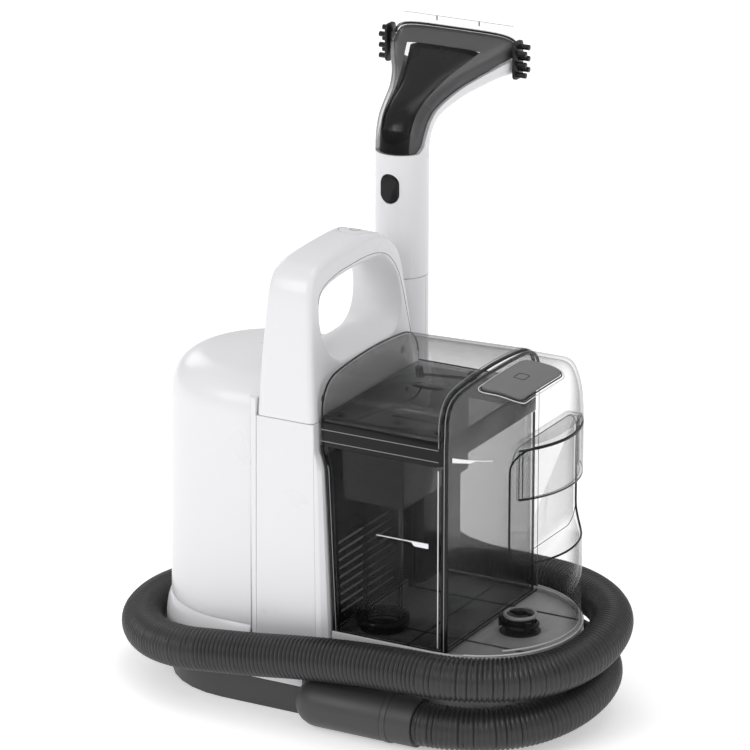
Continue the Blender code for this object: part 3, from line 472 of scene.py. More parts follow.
def addHose():
    line = throughPoints(hoseLine, 12)
    along = [0.0]
    for a, b in zip(line, line[1:]):
        along.append(along[-1] + (b - a).length)
    total = along[-1]
    ribs = round(total / hose["pitch"])
    stops = np.linspace(0, total, ribs * hose["samples"] + 1)
    xyz = np.array([list(p) for p in line])
    centres = [Vector(p) for p in np.stack([np.interp(stops, along, xyz[:, k]) for k in range(3)], 1)]
    side, points = Vector((0, 0, 1)), []
    for i, centre in enumerate(centres):
        ahead = (centres[min(i + 1, len(centres) - 1)] - centres[max(i - 1, 0)]).normalized()
        side = (side - ahead * side.dot(ahead)).normalized()
        other = ahead.cross(side)
        phase = 2 * pi * i / hose["samples"]
        crest = max(0.0, 0.5 - 0.5 * cos(phase)) ** 0.75
        radius = hose["radius"] - hose["groove"] * (1 - crest)
        for k in range(hose["around"]):
            turn = 2 * pi * k / hose["around"]
            points.append(centre + (side * cos(turn) + other * sin(turn)) * radius)
    count = hose["around"]
    rings = [points[i:i + count] for i in range(0, len(points), count)]
    piece = smoothShade(loft("hoseRibbed", rings), 80)
    piece.data.materials.append(hoseSkin)
    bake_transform(piece)
    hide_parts("hose_lower_turn", "hose_upper_turn")
    print("hose", round(total), "mm,", ribs, "ribs")


addCamera()
addStudio()
addHose()


body = {"leftX": -61.0, "rightX": 127.0, "wall": 2.4}
cover = {"rightX": -24.3, "foot": 66.3, "footRadius": 79.8, "topRadius": 77.1, "seam": 243.0,
         "crown": 267.9, "dome": 0.0011, "shoulder": 27.0}


def coverRule(inset):
    def rule(x, y, z):
        spine = np.hypot(np.minimum(x - body["leftX"], 0), y)
        spread = cover["footRadius"] - cover["topRadius"]
        taper = spread * (z - cover["foot"]) / (cover["seam"] - cover["foot"])
        wall = spine - (cover["footRadius"] - taper - inset)
        top = z - (cover["crown"] - inset - cover["dome"] * spine ** 2)
        return softMax(wall, top, cover["shoulder"])
    return rule


# what stands in the cover: the column and the arch's foot
def coverCavity():
    slot = prism("slot", [(-34, -95), (40, -95), (40, 95), (-34, 95)], 40, 243.3)
    foot = prism("foot", [(-25.8, 200), (25.8, 200), (25.8, 243), (20.5, 332), (-20.5, 332), (-25.8, 243)],
                 -95, 95, "Y")
    return [slot, foot]


def turnedAboutEnd(piece, degrees):
    centre = Vector((body["leftX"], 0, 0)) * mm
    piece.data.transform(Matrix.Translation(centre) @ Matrix.Rotation(radians(degrees), 4, "Z")
                         @ Matrix.Translation(-centre))
    return piece


def addMotorCover():
    shell = halve(grownForm("motorCover", (-142, -81, 40), (30, 81, 269), coverRule(0)),
                  (0, 0, cover["foot"]), (0, 0, -1))
    halve(shell, (cover["rightX"], 0, 0), (1, 0, 0))
    hollow = grownForm("hollow", (-140, -79, 30), (28, 79, 266), coverRule(body["wall"]), 4)
    inlet = prism("inlet", [(x, z) for x, z in arc((-48, 112), 8.3, 0, 350, 35)], 60, 100, "Y")
    window = turnedAboutEnd(prism("window", [(-1, -28), (34, -28), (34, 28), (-1, 28)], 96, 142), 128)
    cutAway(shell, hollow, *coverCavity(), inlet, window)
    softenEdges(shell, 0.5, 2, 50)
    put(smoothShade(shell), "machine", whiteShell, "white_plastic", "motor_cover")
    print("motor cover")


def addCasing():
    refined("base_pan", charcoalBase, "dark_plastic", 1.2, 3)
    refined("lower_casing", whiteShell, "white_plastic", 0.4, 2)
    for place in ("front_left", "back_left", "front_right", "back_right"):
        refined("foot_" + place, footRubber, "foot_rubber", 0.4)
    refined("exhaust_grille", whiteSatin, "light_grey_plastic", 0.3)
    refined("cord_inlet", charcoal, "dark_plastic", 0.6)
    refined("column_frame", whiteShell, "white_plastic", 0.6, 3)
    refined("front_panel", whiteShell, "white_plastic", 0.5, 3)
    wall = [[(27.5, -73.7, z), (x, -73.7, z), (x, 73.7, z), (27.5, 73.7, z)] for z, x in
            ((74.3, 36.4), (205, 30.7), (214.5, 28.6))]
    put(smoothShade(softenEdges(loft("dockWall", wall), 0.5)), "machine", blackSatin, "dark_plastic",
        "dock_wall")
    # ribs on the dark dock wall, light-coloured as painted highlights
    ribs = [[(35.2 - 0.0431 * (z - 83), y, z) for y in (-60, 24)] for z in (84 + 7 * i for i in range(9))]
    bead("dockRibs", "machine", paintedHighlight, "dark_plastic", 1.4, *ribs)
    refined("wand_clip_left", whiteShell, "white_plastic", 1.2, 3)
    refined("wand_clip_right", whiteShell, "white_plastic", 1.2, 3)
    refined("hose_elbow", charcoal, "dark_plastic", 0.8, 3)
    refined("hose_collar", charcoal, "dark_plastic", 0.7, 3)
    print("casing, column and elbow")


arch = {"outer": [(-84, 232), (-84, 249.7), (-82.4, 285), (-80, 315), (-77.4, 338.8), (-75, 348),
                  (-70.9, 355.2), (-64.5, 360), (-56.6, 362.6), (-34.3, 364.9), (-0.6, 366), (24, 365.6),
                  (36, 362.9), (46.4, 358), (56, 351), (62.2, 344.8), (66.2, 337.5), (68.9, 329),
                  (72.5, 311), (76, 292.5), (79.4, 266.6), (83, 249), (84, 232)],
        "grip": [(-65.3, 322), (-64.2, 313), (-61.8, 304), (-57.5, 296), (-53.6, 290.3), (-48.5, 286),
                 (-39.5, 281.2), (-28.4, 279), (9.8, 278), (41.1, 278.4), (50, 281.5), (56.8, 287),
                 (60.4, 294.6), (61.4, 303), (60.2, 314.5), (54.6, 328), (43.4, 340), (32.2, 345.8),
                 (-1.4, 348), (-35.1, 346.9), (-53, 343.6), (-61, 339), (-64.4, 332)],
        "seam": [(-66.2, 334), (-63, 341), (-53, 346.6), (-38, 349.6), (-21.7, 350.8), (12, 351), (34, 347.4),
                 (47.8, 340.3), (59.1, 326.5), (65.8, 307.2), (70.3, 288.6), (74.8, 270)],
        "crown": 6.5, "middle": (-2.0, 313.0), "around": 220, "foot": 243.3}


def archHalfWidth(z):
    return float(np.interp(z, (200, 243, 332, 368), (25.5, 25.5, 20.2, 18.2)))


def rayHits(outline, count):  # where rays from the arch's middle meet an outline, all round
    cy, cz = arch["middle"]
    turns = np.unwrap([atan2(z - cz, y - cy) for y, z in outline + outline[:1]])
    if turns[-1] < turns[0]:
        turns, outline = turns[::-1], (outline + outline[:1])[::-1][:-1]
    reach = [hypot(y - cy, z - cz) for y, z in outline + outline[:1]]
    spots = turns[0] + (np.arange(count) / count * 2 * pi - turns[0]) % (2 * pi)
    radii = np.interp(spots, turns, reach)
    return [(cy + r * cos(a), cz + r * sin(a)) for r, a in zip(radii, spots)]


# the outline drawn in by inset, at x as a share of the half width less a step
def archRing(outline, inset, x):
    count = len(outline)
    share, step = x
    ring = []
    for i, (y, z) in enumerate(outline):
        before, after = outline[i - 1], outline[(i + 1) % count]
        along = Vector((after[0] - before[0], after[1] - before[1])).normalized()
        y, z = y - along.y * inset, z + along.x * inset
        ring.append((share * (archHalfWidth(z) - step), y, z))
    return ring


def loopLoft(name, rings):  # rings joined all round, the last one to the first
    count, total = len(rings[0]), len(rings)
    faces = [(r * count + i, r * count + (i + 1) % count, (r + 1) % total * count + (i + 1) % count,
              (r + 1) % total * count + i) for r in range(total) for i in range(count)]
    made = makeMesh(name, [p for ring in rings for p in ring], faces)
    faceOutwards(made)
    return made


def addButton():
    across, middle = [y for y, z in arch["outer"][8:18]], 27.0

    def ring(radius, lift):
        spots = arc((0, middle), radius, 0, 353, 52)
        return [(x, y, float(np.interp(y, across, [z for _, z in arch["outer"][8:18]])) + lift)
                for x, y in spots]

    rings = [[(x, y, 358.3) for x, y, z in ring(12.6, 0)], ring(12.6, -0.35), ring(12.2, 0.15), ring(9, 0.3),
             ring(5, 0.35), ring(1, 0.35)]
    put(smoothShade(loft("powerButton", rings)), nodeOf["power_button_cap"]["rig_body"], whiteSatin,
        "button_plastic", "power_button_cap")
    bead("buttonMark", nodeOf["power_button_cap"]["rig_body"], seamGreyAndEdgeShade, "button_plastic", 0.2,
         ring(4.2, 0.35), closed=True)


def addArch():
    outer = rayHits([tuple(p) for p in throughPoints(arch["outer"], 6)], arch["around"])
    inner = rayHits([tuple(p) for p in throughPoints(arch["grip"], 6, True)], arch["around"])
    round_, lip = 5.5, 1.6
    rings = []
    for side in (-1, 1):
        turns = [pi / 2 * k / 5 for k in range(6)]
        outerRings = [archRing(outer, round_ * (1 - cos(a)), (side, round_ * (1 - sin(a)))) for a in turns]
        face = archRing(outer, round_ + 2.0, (side, 0))
        innerRings = [archRing(inner, -lip * (1 - cos(a)), (side, lip * (1 - sin(a)))) for a in turns]
        run = outerRings + [face] + list(reversed(innerRings))
        rings += run if side > 0 else list(reversed(run))
    shell = loopLoft("carryArch", rings)
    halve(shell, (0, 0, arch["foot"]), (0, 0, -1))
    seat = prism("seat", arc((0, 27), 13.2, 0, 354, 59), 359.5, 380)
    groove = prism("groove", arc((0, 103), 22.0, 0, 354, 59), 200, 400)
    screws = [prism("screw", arc((y, z), 3.6, 0, 350, 35), 22.2, 40, "X")
              for y, z in ((-66.5, 259.0), (60.0, 261.0))]
    cutAway(shell, seat, groove, *screws)
    softenEdges(shell, 0.35, 2, 45)
    put(smoothShade(shell), "machine", whiteShell, "white_plastic", "handle_shell")
    shares = np.linspace(-1, 1, 17)
    rings = [archRing(inner, arch["crown"] * (1 - k * k) + 0.2, (float(k), 0.8)) for k in shares]
    rings += [archRing(inner, -1.2, (k, 1.6)) for k in (1, -1)]
    put(smoothShade(loopLoft("gripInsert", rings), 60), "machine", whiteSatin, "light_grey_plastic",
        "grip_insert")
    seam = [(archHalfWidth(p.z) - 0.1, p.y, p.z)
            for p in throughPoints([(0, y, z) for y, z in arch["seam"]], 8)]
    bead("gripSeam", "machine", seamGreyAndEdgeShade, "light_grey_plastic", 0.3, seam)
    for place in ("front", "back"):
        refined("side_screw_" + place, screwSteel, "screw_steel", 0.25)
    addButton()
    print("carry arch")


tank = {"radius": 78.0, "floor": 72.4, "divide": 135.0, "gap": 0.3, "archHalf": 77.4, "archCrown": 281.6,
        "archBow": 0.0011, "archShoulder": 24.0, "endRound": 46.0, "endTop": 238.3, "blend": 12.0,
        "wall": 2.4}


def archTop(y, rise):
    return tank["archCrown"] + rise - tank["archBow"] * y ** 2


def cleanRule(inset):
    def rule(x, y, z):
        plan = np.hypot(x - body["rightX"], y) - (tank["radius"] - inset)
        side = np.abs(y) - (tank["archHalf"] - inset) - np.maximum(248 - z, 0) * 0.6
        top = z - (archTop(y, 3.2) - inset)
        section = softMax(side, top, tank["archShoulder"])
        radius = tank["endRound"]
        acrossEnd = body["rightX"] + tank["radius"] - radius
        end = np.hypot(np.maximum(x - acrossEnd, 0), np.maximum(z - tank["endTop"], 0)) - radius + inset
        end = np.where(z < tank["endTop"], x - acrossEnd - radius + inset - (tank["endTop"] - z) * 0.5, end)
        return softMax(softMax(plan, section, 3.0), end, tank["blend"])
    return rule


def addCleanTank():
    low, high = (110, -80, 40), (207, 80, 287)
    floor = (0, 0, tank["floor"])
    left = tank["divide"] + tank["gap"]
    shell = halve(grownForm("cleanTank", low, high, cleanRule(0), 2.2), floor, (0, 0, -1))
    halve(shell, (left, 0, 0), (-1, 0, 0))
    hollow = halve(grownForm("hollow", low, high, cleanRule(tank["wall"]), 3), (0, 0, tank["floor"] + 2.4),
                   (0, 0, -1))
    halve(hollow, (left + tank["wall"], 0, 0), (-1, 0, 0))
    recess = roundedBox((-56, 147), (56, 240), 17, 8)
    grown = roundedBox((-58.4, 144.6), (58.4, 242.4), 19.4, 8)
    cutAway(hollow, prism("recessWall", grown, 178.1, 260, "X"))
    mouth = prism("mouth", roundedBox((151, -25), (179, 25), 6), 250, 320)
    drain = prism("drain", arc((161.5, 0), 11.5, 0, 350, 35), 60, 80)
    cutAway(shell, hollow, prism("recess", recess, 180.5, 260, "X"), mouth, drain)
    softenEdges(shell, 1.0, 3, 50)
    put(smoothShade(shell, 50), "clean_tank", clearWall, "clear_plastic", "clean_tank_shell")
    refined("tank_grip_bar", clearBar, "clear_plastic", 1.0, 3)
    addCleanEdges()
    addFillFlap()
    addValve()
    print("clean tank")


# the line that a form's rule gives at x, over the arch and down both sides
def acrossArch(rule, x, foot, steps=44):
    turns = np.radians(np.linspace(180, 0, steps + 1))
    near, far, spotX = np.zeros(len(turns)), np.full(len(turns), 140.0), np.full(len(turns), float(x))
    for _ in range(26):
        middle = (near + far) / 2
        outside = rule(spotX, np.cos(turns) * middle, 240 + np.sin(turns) * middle) > 0
        near, far = np.where(outside, near, middle), np.where(outside, middle, far)
    line = [(x, cos(t) * r, 240 + sin(t) * r) for t, r in zip(turns, near)]
    return [(x, line[0][1], foot)] + line[:-3], line[-4:] + [(x, line[-1][1], foot)]


# painted edge shade along a tank's end over the arch: bold at the front and over the top, faint behind
def archBead(name, body, look, slot, radius, rule, x, foot):
    front, back = acrossArch(rule, x, foot)
    bead(name, body, look, slot, radius, front)
    bead(name + "Back", body, seamGreyAndEdgeShade, slot, 0.25, back)


def evenly(outline, step=4.0):  # the same closed outline with points at most a step apart
    full = []
    for (a, b), (c, d) in zip(outline, outline[1:] + outline[:1]):
        parts = max(1, round(hypot(c - a, d - b) / step))
        full += [(a + (c - a) * k / parts, b + (d - b) * k / parts) for k in range(parts)]
    return full


def onEnd(y, inset=0.9):  # x of the clean tank's round end
    return body["rightX"] + (max((tank["radius"] - inset) ** 2 - y * y, 0)) ** 0.5


def markOn(name, body, surface, stations):  # a printed mark: stations along x with its lowest and highest z
    rings = [[(*surface(x, 0.02), low), (*surface(x, 0.02), high), (*surface(x, 0.3), high),
              (*surface(x, 0.3), low)] for x, low, high in stations]
    put(loft(name, rings), body, whiteMark, "white_plastic")


def addCleanEdges():
    left = tank["divide"] + tank["gap"]
    # dark beads below are painted edge shade along the clear walls' edges, the recess and the grip bar
    own = ("clean_tank", paintedEdgeShade, "clear_plastic")
    archBead("cleanDivideEdge", *own, 1.3, cleanRule(1.3), left + 1.6, 74.5)
    # a painted highlight line beside the divide
    bead("cleanDivideHighlight", "clean_tank", valveGreyAndHighlight, "clear_plastic", 0.4,
         acrossArch(cleanRule(0.3), left + 0.1, 76)[0])
    # a painted highlight round the tank's foot
    bead("cleanFootHighlight", "clean_tank", paintedHighlight, "clear_plastic", 0.8,
         [(x, y, 78.2) for x, y in arc((body["rightX"], 0), 77.1, 82, -50, 36)])
    recess = roundedBox((-56, 147), (56, 240), 17, 8)
    bead("recessRim", *own, 0.85, [(onEnd(y), y, z) for y, z in evenly(recess)], closed=True)
    bead("recessBack", *own, 0.3, [(180.3, y, z) for y, z in roundedBox((-55, 148), (55, 239), 16, 8)],
         closed=True)
    span = [radians(-41 + 82 * i / 28) for i in range(29)]
    for name, z, radius, size in (("barFoot", 199.6, 77.4, 0.6), ("barTop", 239.0, 77.4, 0.6),
                                  ("barFootInner", 199.6, 74.9, 0.3), ("barTopInner", 239.0, 74.9, 0.3)):
        bead(name, *own, size, [(body["rightX"] + radius * cos(a), radius * sin(a), z) for a in span])
    ends = [[(body["rightX"] + r * cos(a), r * sin(a), z) for z in (200, 239)] for r, a in
            ((77.0, span[0]), (77.0, span[-1]), (74.9, span[1]), (74.9, span[-2]))]
    bead("barEnds", *own, 0.4, *ends)
    floorLine = [(left + 2.2, 74), (left + 2.2, -74)]
    bead("cleanFloorLine", *own, 0.6, [(x, y, 75.2) for x, y in floorLine])
    surface = lambda x, out: (x, -((tank["radius"] + out) ** 2 - (x - body["rightX"]) ** 2) ** 0.5)
    marks = [(142, 230.6, 234.4), (147, 230.9, 234.2), (152, 231.2, 234.0), (155.5, 231.4, 233.9),
             (159, 233.2, 233.8), (164, 233.2, 233.7), (170, 233.2, 233.7)]
    markOn("cleanLevelMark", "clean_tank", surface, marks)


def topOf(rule, x, y):
    near, far = 200.0, 300.0
    for _ in range(30):
        middle = (near + far) / 2
        outside = rule(np.array([x]), np.array([y]), np.array([middle]))[0] > 0
        near, far = (near, middle) if outside else (middle, far)
    return near


flap = {"low": (148, -46), "high": (182.5, 27), "corner": 7.0}


def addFillFlap():
    (x0, y0), (x1, y1) = flap["low"], flap["high"]
    skin = cleanRule(0)

    def outline(inset, lift):
        spots = roundedBox((x0 + inset, y0 + inset), (x1 - inset, y1 - inset),
                           max(flap["corner"] - inset, 1), 6)
        return [(x, y, topOf(skin, x, y) + lift) for x, y in evenly(spots)]

    edge = outline(0, 0)
    middle = ((x0 + x1) / 2, (y0 + y1) / 2)
    rings = []
    for share, lift in ((0.03, 0.3), (0.5, 0.3), (1.0, 0.3), (1.0, 2.1), (0.975, 2.6), (0.93, 2.3),
                        (0.7, 2.2),
                        (0.35, 2.2), (0.03, 2.2)):
        spots = [(middle[0] + (x - middle[0]) * share, middle[1] + (y - middle[1]) * share)
                 for x, y, z in edge]
        rings.append([(x, y, topOf(skin, x, y) + lift) for x, y in spots])
    carrier = nodeOf["fill_flap"]["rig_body"]
    put(smoothShade(loft("fillFlap", rings), 50), carrier, flapRubber, "flap_rubber", "fill_flap")
    mark = roundedBox((161, -15), (170, -4), 2, 4)
    bead("flapMark", carrier, charcoal, "flap_rubber", 0.3,
         [(x, y, topOf(skin, x, y) + 2.25) for x, y in mark], closed=True)
    # painted edge shade and a painted highlight round the flap's seat
    bead("flapSeatEdgeShade", "clean_tank", paintedEdgeShade, "clear_plastic", 0.6, outline(-1.0, 0.2), closed=True)
    bead("flapSeatHighlight", "clean_tank", paintedHighlight, "clear_plastic", 0.4, outline(-3.0, 0.1), closed=True)


def addValve():
    refined("valve_body", blackSatin, "black_plastic", 0.4)
    refined("valve_plunger", rubberSeal, "seal_rubber", 0.3)
    at = (161.5, 0.0)
    bead("valveRing", "clean_tank", valveGreyAndHighlight, "black_plastic", 1.5, ringAt(at, 12.0, 85.2), closed=True,
         around=12)
    bead("valveFootRing", "clean_tank", blackSatin, "black_plastic", 1.8, ringAt(at, 13.2, 77.2), closed=True,
         around=12)
    for name, turn in (("valveFinFront", 200), ("valveFinRight", 320), ("valveFinBack", 80)):
        reach = [(at[0] + r * cos(radians(turn + w)), at[1] + r * sin(radians(turn + w)))
                 for r, w in ((11.3, -14), (17, -9), (17, 9), (11.3, 14))]
        put(smoothShade(softenEdges(prism(name, reach, 75.4, 83.5), 0.5)), "clean_tank", blackSatin,
            "black_plastic")


def lidRule(inset):
    def rule(x, y, z):
        rise = 3.2 * (x - 28.4) / 106.3
        side = np.abs(y) - (tank["archHalf"] - inset)
        top = z - (archTop(y, rise) - inset)
        return softMax(side, top, tank["archShoulder"])
    return rule


dirty = {"left": [(72.8, 37.6), (205, 31.6), (210, 30.6), (215, 29.4), (220, 27.7), (224.7, 27.0),
                  (244.4, 26.4)], "half": 78.0, "tube": (65.0, -45.5), "foot": 248.3}


def addDirtyEdges():
    # dark beads below are painted edge shade along the smoked shell's edges; the gleams are painted
    # highlights
    own = ("dirty_tank", paintedEdgeShade, "smoked_plastic")
    shellPart = dirty["left"][:6]
    for side, name in ((-1, "Front"), (1, "Back")):
        bead("leftEdge" + name, *own, 1.3, [(x + 1.7, side * 76.5, z) for z, x in shellPart])
        bead("leftWall" + name, *own, 0.7, [(x + 6.2, side * 76.8, z) for z, x in shellPart[:5]])
    bead("leftGleam", "dirty_tank", paintedGleamGrey, "smoked_plastic", 0.35,
         [(x + 3.9, -77.8, z) for z, x in shellPart[:3]])
    right = tank["divide"] - tank["gap"]
    bead("rightEdges", *own, 1.0, *[[(right - 1.6, y, z) for z in (74, 223)] for y in (-75.2, 75.2)])
    bead("rightGleam", "dirty_tank", paintedHighlight, "smoked_plastic", 0.5,
         [(right - 4.2, -77.75, z) for z in (78, 222)])
    foot = [(38.6, -76.4), (133, -76.4), (133.3, 76.4), (38.6, 76.4)]
    bead("tankFootLine", *own, 0.9, *[[(*a, 74.3), (*b, 74.3)] for a, b in zip(foot, foot[1:] + foot[:1])])
    surface = lambda x, out: (x, -dirty["half"] - out)
    marks = [(77.2, 161.0, 161.6), (105.0, 161.0, 161.7), (107.6, 161.0, 161.8), (110.2, 158.0, 161.9),
             (122.4, 158.0, 162.0)]
    markOn("dirtyLevelMark", "dirty_tank", surface, marks)
    bead("suctionRing", "dirty_tank", blackGloss, "seal_rubber", 2.7, ringAt(dirty["tube"], 17.7, 79.2),
         closed=True, around=16)


def addLidParts(right):
    # dark beads below are painted edge shade along the lid cover's edges; the gleam is a painted highlight
    own = ("dirty_tank_lid", paintedEdgeShade, "smoked_plastic")
    archBead("coverLeftEdge", *own, 0.7, lidRule(0.5), 29.2, 249)
    archBead("coverRightEdge", *own, 1.5, lidRule(1.4), right - 1.7, 249)
    bead("coverGleam", "dirty_tank_lid", valveGreyAndHighlight, "smoked_plastic", 0.35,
         acrossArch(lidRule(0.1), right - 4.2, 252)[0])
    bead("coverFoot", *own, 0.7, *[[(x, y, 249) for x in (30, right - 1.5)] for y in (-76.6, 76.6)])
    # painted highlight lines along the gasket band
    lines = [[(28.5, y, z), (right - 4, y, z)] for y in (-77.95, 77.95) for z in (229.2, 238.6)]
    bead("bandHighlights", "dirty_tank_lid", paintedGleamGrey, "seal_rubber", 0.35, *lines)
    top = [((70, -48), (122, -30), 6), ((52, 22), (78, 30), 4)]
    for i, (low, high, radius) in enumerate(top):
        plate = prism(f"plateRise{i + 1}", roundedBox(low, high, radius), 247.7, 248.7)
        put(smoothShade(softenEdges(plate, 0.4)), "dirty_tank_lid", lidGlass, "smoked_plastic")
    screws = [(39, -66), (39, 60), (124, -66), (124, 60), (82, 68)]
    for i, spot in enumerate(screws):
        head = loft(f"plateScrew{i + 1}", [[(x, y, z) for x, y in arc(spot, r, 0, 342, 19)] for r, z in
                                           ((3.2, 247.8), (3.2, 249.2), (2.6, 249.6), (1.4, 249.0))])
        put(smoothShade(head), "dirty_tank_lid", innerDark, "screw_steel")
    housing = prism("floatHousing", roundedBox((51.5, -5.5), (80.5, 67.5), 3), 170, 244.6)
    cutAway(housing, prism("room", roundedBox((53.3, -3.7), (78.7, 65.7), 2), 160, 243))
    put(smoothShade(softenEdges(housing, 0.6)), "dirty_tank_lid", innerDark, "dark_plastic")


def addDirtyTank():
    refined("dirty_tank_shell", smoke, "smoked_plastic", 1.2, 3)
    refined("suction_tube", smokeTube, "smoked_plastic", 0.8)
    refined("lid_gasket", blackGloss, "seal_rubber", 0.6)
    refined("lid_plate", lidGlass, "dark_plastic", 0.5)
    refined("separator_box", innerDark, "smoked_plastic", 1.0, 3)
    refined("float_guide", innerDark, "dark_plastic", 0.5)
    refined("float", innerDark, "black_plastic", 1.2, 3)
    low, high = (10, -79, 200), (150, 79, 288)
    right = tank["divide"] - tank["gap"]
    cap = halve(grownForm("lidCover", low, high, lidRule(0), 2.4), (0, 0, dirty["foot"]), (0, 0, -1))
    halve(halve(cap, (28.4, 0, 0), (-1, 0, 0)), (right, 0, 0), (1, 0, 0))
    hollow = grownForm("hollow", low, high, lidRule(1.9), 3)
    halve(halve(hollow, (30.3, 0, 0), (-1, 0, 0)), (right - 1.9, 0, 0), (1, 0, 0))
    cutAway(cap, hollow)
    softenEdges(cap, 0.8, 3, 50)
    put(smoothShade(cap, 50), "dirty_tank_lid", smokeLid, "smoked_plastic", "lid_cover")
    addDirtyEdges()
    addLidParts(right)
    print("dirty-water tank and lid")


def addTray():
    refined("tank_tray", trayGrey, "dark_plastic", 0.6)
    # a painted highlight along the tray's rim
    rim = [(38.6, 79.2)] + arc((body["rightX"], 0), 79.2, 90, -72, 40)
    bead("trayRimHighlight", "machine", paintedHighlight, "light_grey_plastic", 0.9, [(x, y, 75.3) for x, y in rim])
    lines = [[(44, y, 72.3), (198, y, 72.3)] for y in (-40, 40)] + [[(100, -70, 72.3), (100, 70, 72.3)]]
    bead("traySteps", "machine", charcoal, "dark_plastic", 0.7, *lines)
    refined("suction_port_seal", rubberSeal, "seal_rubber", 0.8)
    refined("clean_water_port", blackSatin, "black_plastic", 0.5)
    print("tank bay")


def addWand():
    refined("hose_cuff", charcoal, "dark_plastic", 1.0, 3)
    refined("handle_front_shell", whiteShell, "white_plastic", 0.25)
    refined("handle_back_shell", whiteShell, "white_plastic", 0.25)
    refined("spray_trigger_lever", charcoal, "dark_plastic", 1.0, 3)
    print("wand")


tool = {"stations": [((81.7, 406), (124.3, 406), 21.3, 2.0), ((81.9, 418), (125.2, 412), 21.3, 2.0),
                     ((84.5, 430), (127.0, 420), 21.4, 2.1), ((91.0, 441), (131.0, 427), 21.8, 2.3),
                     ((103, 450.5), (137, 431.5), 22.6, 2.6), ((120, 458.5), (145, 436), 25.5, 3.0),
                     ((138, 467), (155, 442), 32.0, 3.4), ((156, 475), (166, 448), 41.5, 3.8),
                     ((174, 482.5), (178, 452.8), 50.5, 4.2), ((186, 486.8), (187, 453.7), 55.0, 4.5),
                     ((194, 489), (193.6, 453.7), 56.0, 5.0)],
        "split": [(60, 410.6), (95, 411.2), (100.5, 416), (104, 424), (109.5, 433.5), (119, 441),
                  (132.5, 447.2), (146.5, 454.5), (161, 461.5), (176, 467.6), (186.5, 470.2), (210, 471.4),
                  (210, 530), (60, 530)],
        "foot": 310.3, "radius": 21.3, "axis": 103.0, "around": 72, "wall": 2.7,
        "ductShare": 0.68, "ductEnd": 11}


def toolRing(top, under, halfWidth, roundness, inset):
    top, under = Vector(top), Vector(under)
    centre, half = (top + under) / 2, (top - under) / 2
    half = half * (half.length - inset) / half.length
    ring = []
    for i in range(tool["around"]):
        turn = 2 * pi * i / tool["around"]
        up = abs(cos(turn)) ** (2 / roundness) * (1 if cos(turn) > 0 else -1)
        out = abs(sin(turn)) ** (2 / roundness) * (1 if sin(turn) > 0 else -1)
        spot = centre + half * up
        ring.append(((halfWidth - inset) * out, spot.x, spot.y))
    return ring


def toolStations():  # the stations with four more between each pair
    flat = [(*top, *under, halfWidth, roundness) for top, under, halfWidth, roundness in tool["stations"]]
    smooth = []
    for i in range(len(flat) - 1):
        a, b, c, d = (np.array(flat[min(max(i + k, 0), len(flat) - 1)]) for k in (-1, 0, 1, 2))
        for k in range(5):
            t = k / 5
            smooth.append(0.5 * (2 * b + (c - a) * t + (2 * a - 5 * b + 4 * c - d) * t * t
                                 + (3 * b - a - 3 * c + d) * t * t * t))
    return smooth + [np.array(flat[-1])]


def toolForm(name, inset, reach=6):
    reach = reach if inset else 0
    y0, y1 = tool["axis"] - tool["radius"], tool["axis"] + tool["radius"]
    rings = [toolRing((y0, tool["foot"] - reach), (y1, tool["foot"] - reach), tool["radius"], 2.0, inset)]
    rings += [toolRing(s[0:2], s[2:4], s[4], s[5], inset) for s in toolStations()]
    if inset:
        rings.append([(x, y + reach, z) for x, y, z in rings[-1]])
    return loft(name, rings)


def ductOpening(name):  # a narrower tool that stands out through the window, where the duct shows
    rings = []
    for s in toolStations()[:-tool["ductEnd"]]:
        top, under = Vector(s[0:2]), Vector(s[2:4])
        rings.append(toolRing(top + (top - under).normalized() * 6, under, s[4] * tool["ductShare"], s[5], 0))
    return loft(name, rings)


def paintedShadeSkin(name):  # a skin just inside the tool's wall, that carries the painted shade of the tool's inside
    return cutAway(toolForm(name, tool["wall"] + 0.15, 0), toolForm("room", tool["wall"] + 0.65))


def splitPrism(grown=0.0):
    return prism("split", [(y, z + (grown if z < 500 else 0)) for y, z in tool["split"]], -80, 80, "X")


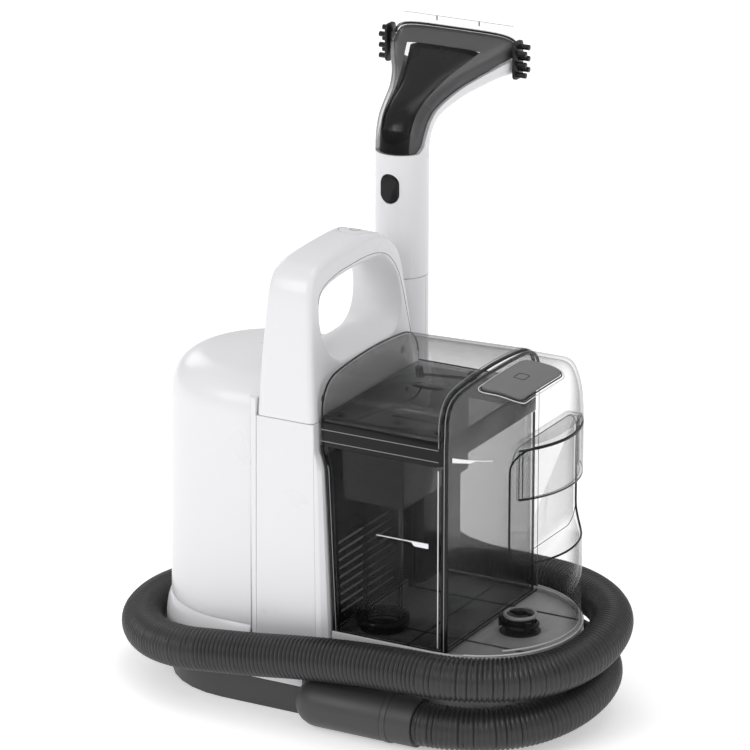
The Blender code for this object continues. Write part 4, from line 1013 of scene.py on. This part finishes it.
def addTool():
    keyHole = prism("keyHole", roundedBox((-8.2, 371.3), (8.2, 395.7), 8.1, 8), 60, 100, "Y")
    shell = cutAway(toolForm("toolBody", 0), toolForm("hollow", tool["wall"]), splitPrism(), keyHole)
    softenEdges(shell, 0.5, 2, 50)
    put(smoothShade(shell, 45), "tool", whiteShell, "white_plastic", "tool_body")
    # a dark grey skin inside the shell and round the window, painted shade for the tool's inside; the duct's
    # opening is cut out of it
    insideShadePiece = cutAway(paintedShadeSkin("toolPaintedShade"), splitPrism(),
                    prism("keyRoom", roundedBox((-9, 370), (9, 397), 8.8, 8), 60, 100, "Y"))
    put(smoothShade(insideShadePiece, 45), "tool", insideShadeGrey, "black_plastic")
    surround = cutAway(cutAway(paintedShadeSkin("windowPaintedShade"), splitPrism(0.5), how="INTERSECT"),
                       ductOpening("opening"))
    put(smoothShade(surround, 45), "tool", insideShadeGrey, "black_plastic")
    window = cutAway(toolForm("toolWindow", 0), splitPrism(0.3), how="INTERSECT")
    cutAway(window, toolForm("hollow", tool["wall"]))
    softenEdges(window, 0.5, 2, 50)
    put(smoothShade(window, 45), "tool", smokeTool, "smoked_plastic", "tool_window")
    last = toolStations()[-1]
    mouth = toolRing(last[0:2], last[2:4], last[4], last[5], 1.3)
    mouth = [(x, y - 1.0, z) for x, y, z in mouth if z > 472.5]
    mouth.sort(key=lambda p: p[0])
    # painted edge shade along the window's front edge
    bead("windowFrontEdge", "tool", paintedEdgeShade, "smoked_plastic", 1.0, mouth)
    refined("tool_duct", blackSatin, "black_plastic", 0.8)
    refined("squeegee_lip", clearLip, "clear_plastic", 0.3)
    low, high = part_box("squeegee_lip")
    middleY = (low[1] + high[1]) / 2 / mm
    ticks = [[(x, middleY, high[2] / mm - 3.8), (x, middleY, high[2] / mm)] for x in (-19, 19)]
    bead("lipTicks", "tool", charcoal, "clear_plastic", 0.5, *ticks)
    bead("lipEdge", "tool", valveGreyAndHighlight, "clear_plastic", 0.2,
         [(x, middleY, high[2] / mm) for x in (-49.5, 49.5)])
    refined("tool_release_key", blackGloss, "button_plastic", 0.9, 3)
    refined("brush_left", blackSatin, "black_plastic", 0.5)
    refined("brush_right", blackSatin, "black_plastic", 0.5)
    print("hand tool")


def dressInside():
    inside = {"exhaust_filter": (foam, "filter_foam"), "motor_mount": (charcoal, "dark_plastic"),
              "motor_can": (motorSteel, "motor_steel"), "fan_shroud": (charcoal, "dark_plastic"),
              "fan_impeller": (blackSatin, "black_plastic"), "pump_bracket": (charcoal, "dark_plastic"),
              "pump_body": (blackSatin, "black_plastic"), "control_board": (boardGreen, "board_laminate"),
              "recovery_duct": (charcoal, "dark_plastic"), "wand_core": (charcoal, "dark_plastic")}
    for node, (look, slot) in inside.items():
        nodeOf[node].data.materials.clear()
        nodeOf[node].data.materials.append(look)
    print("inside parts")


addMotorCover()
addCasing()
addArch()
addTray()
addDirtyTank()
addCleanTank()
addWand()
addTool()
dressInside()
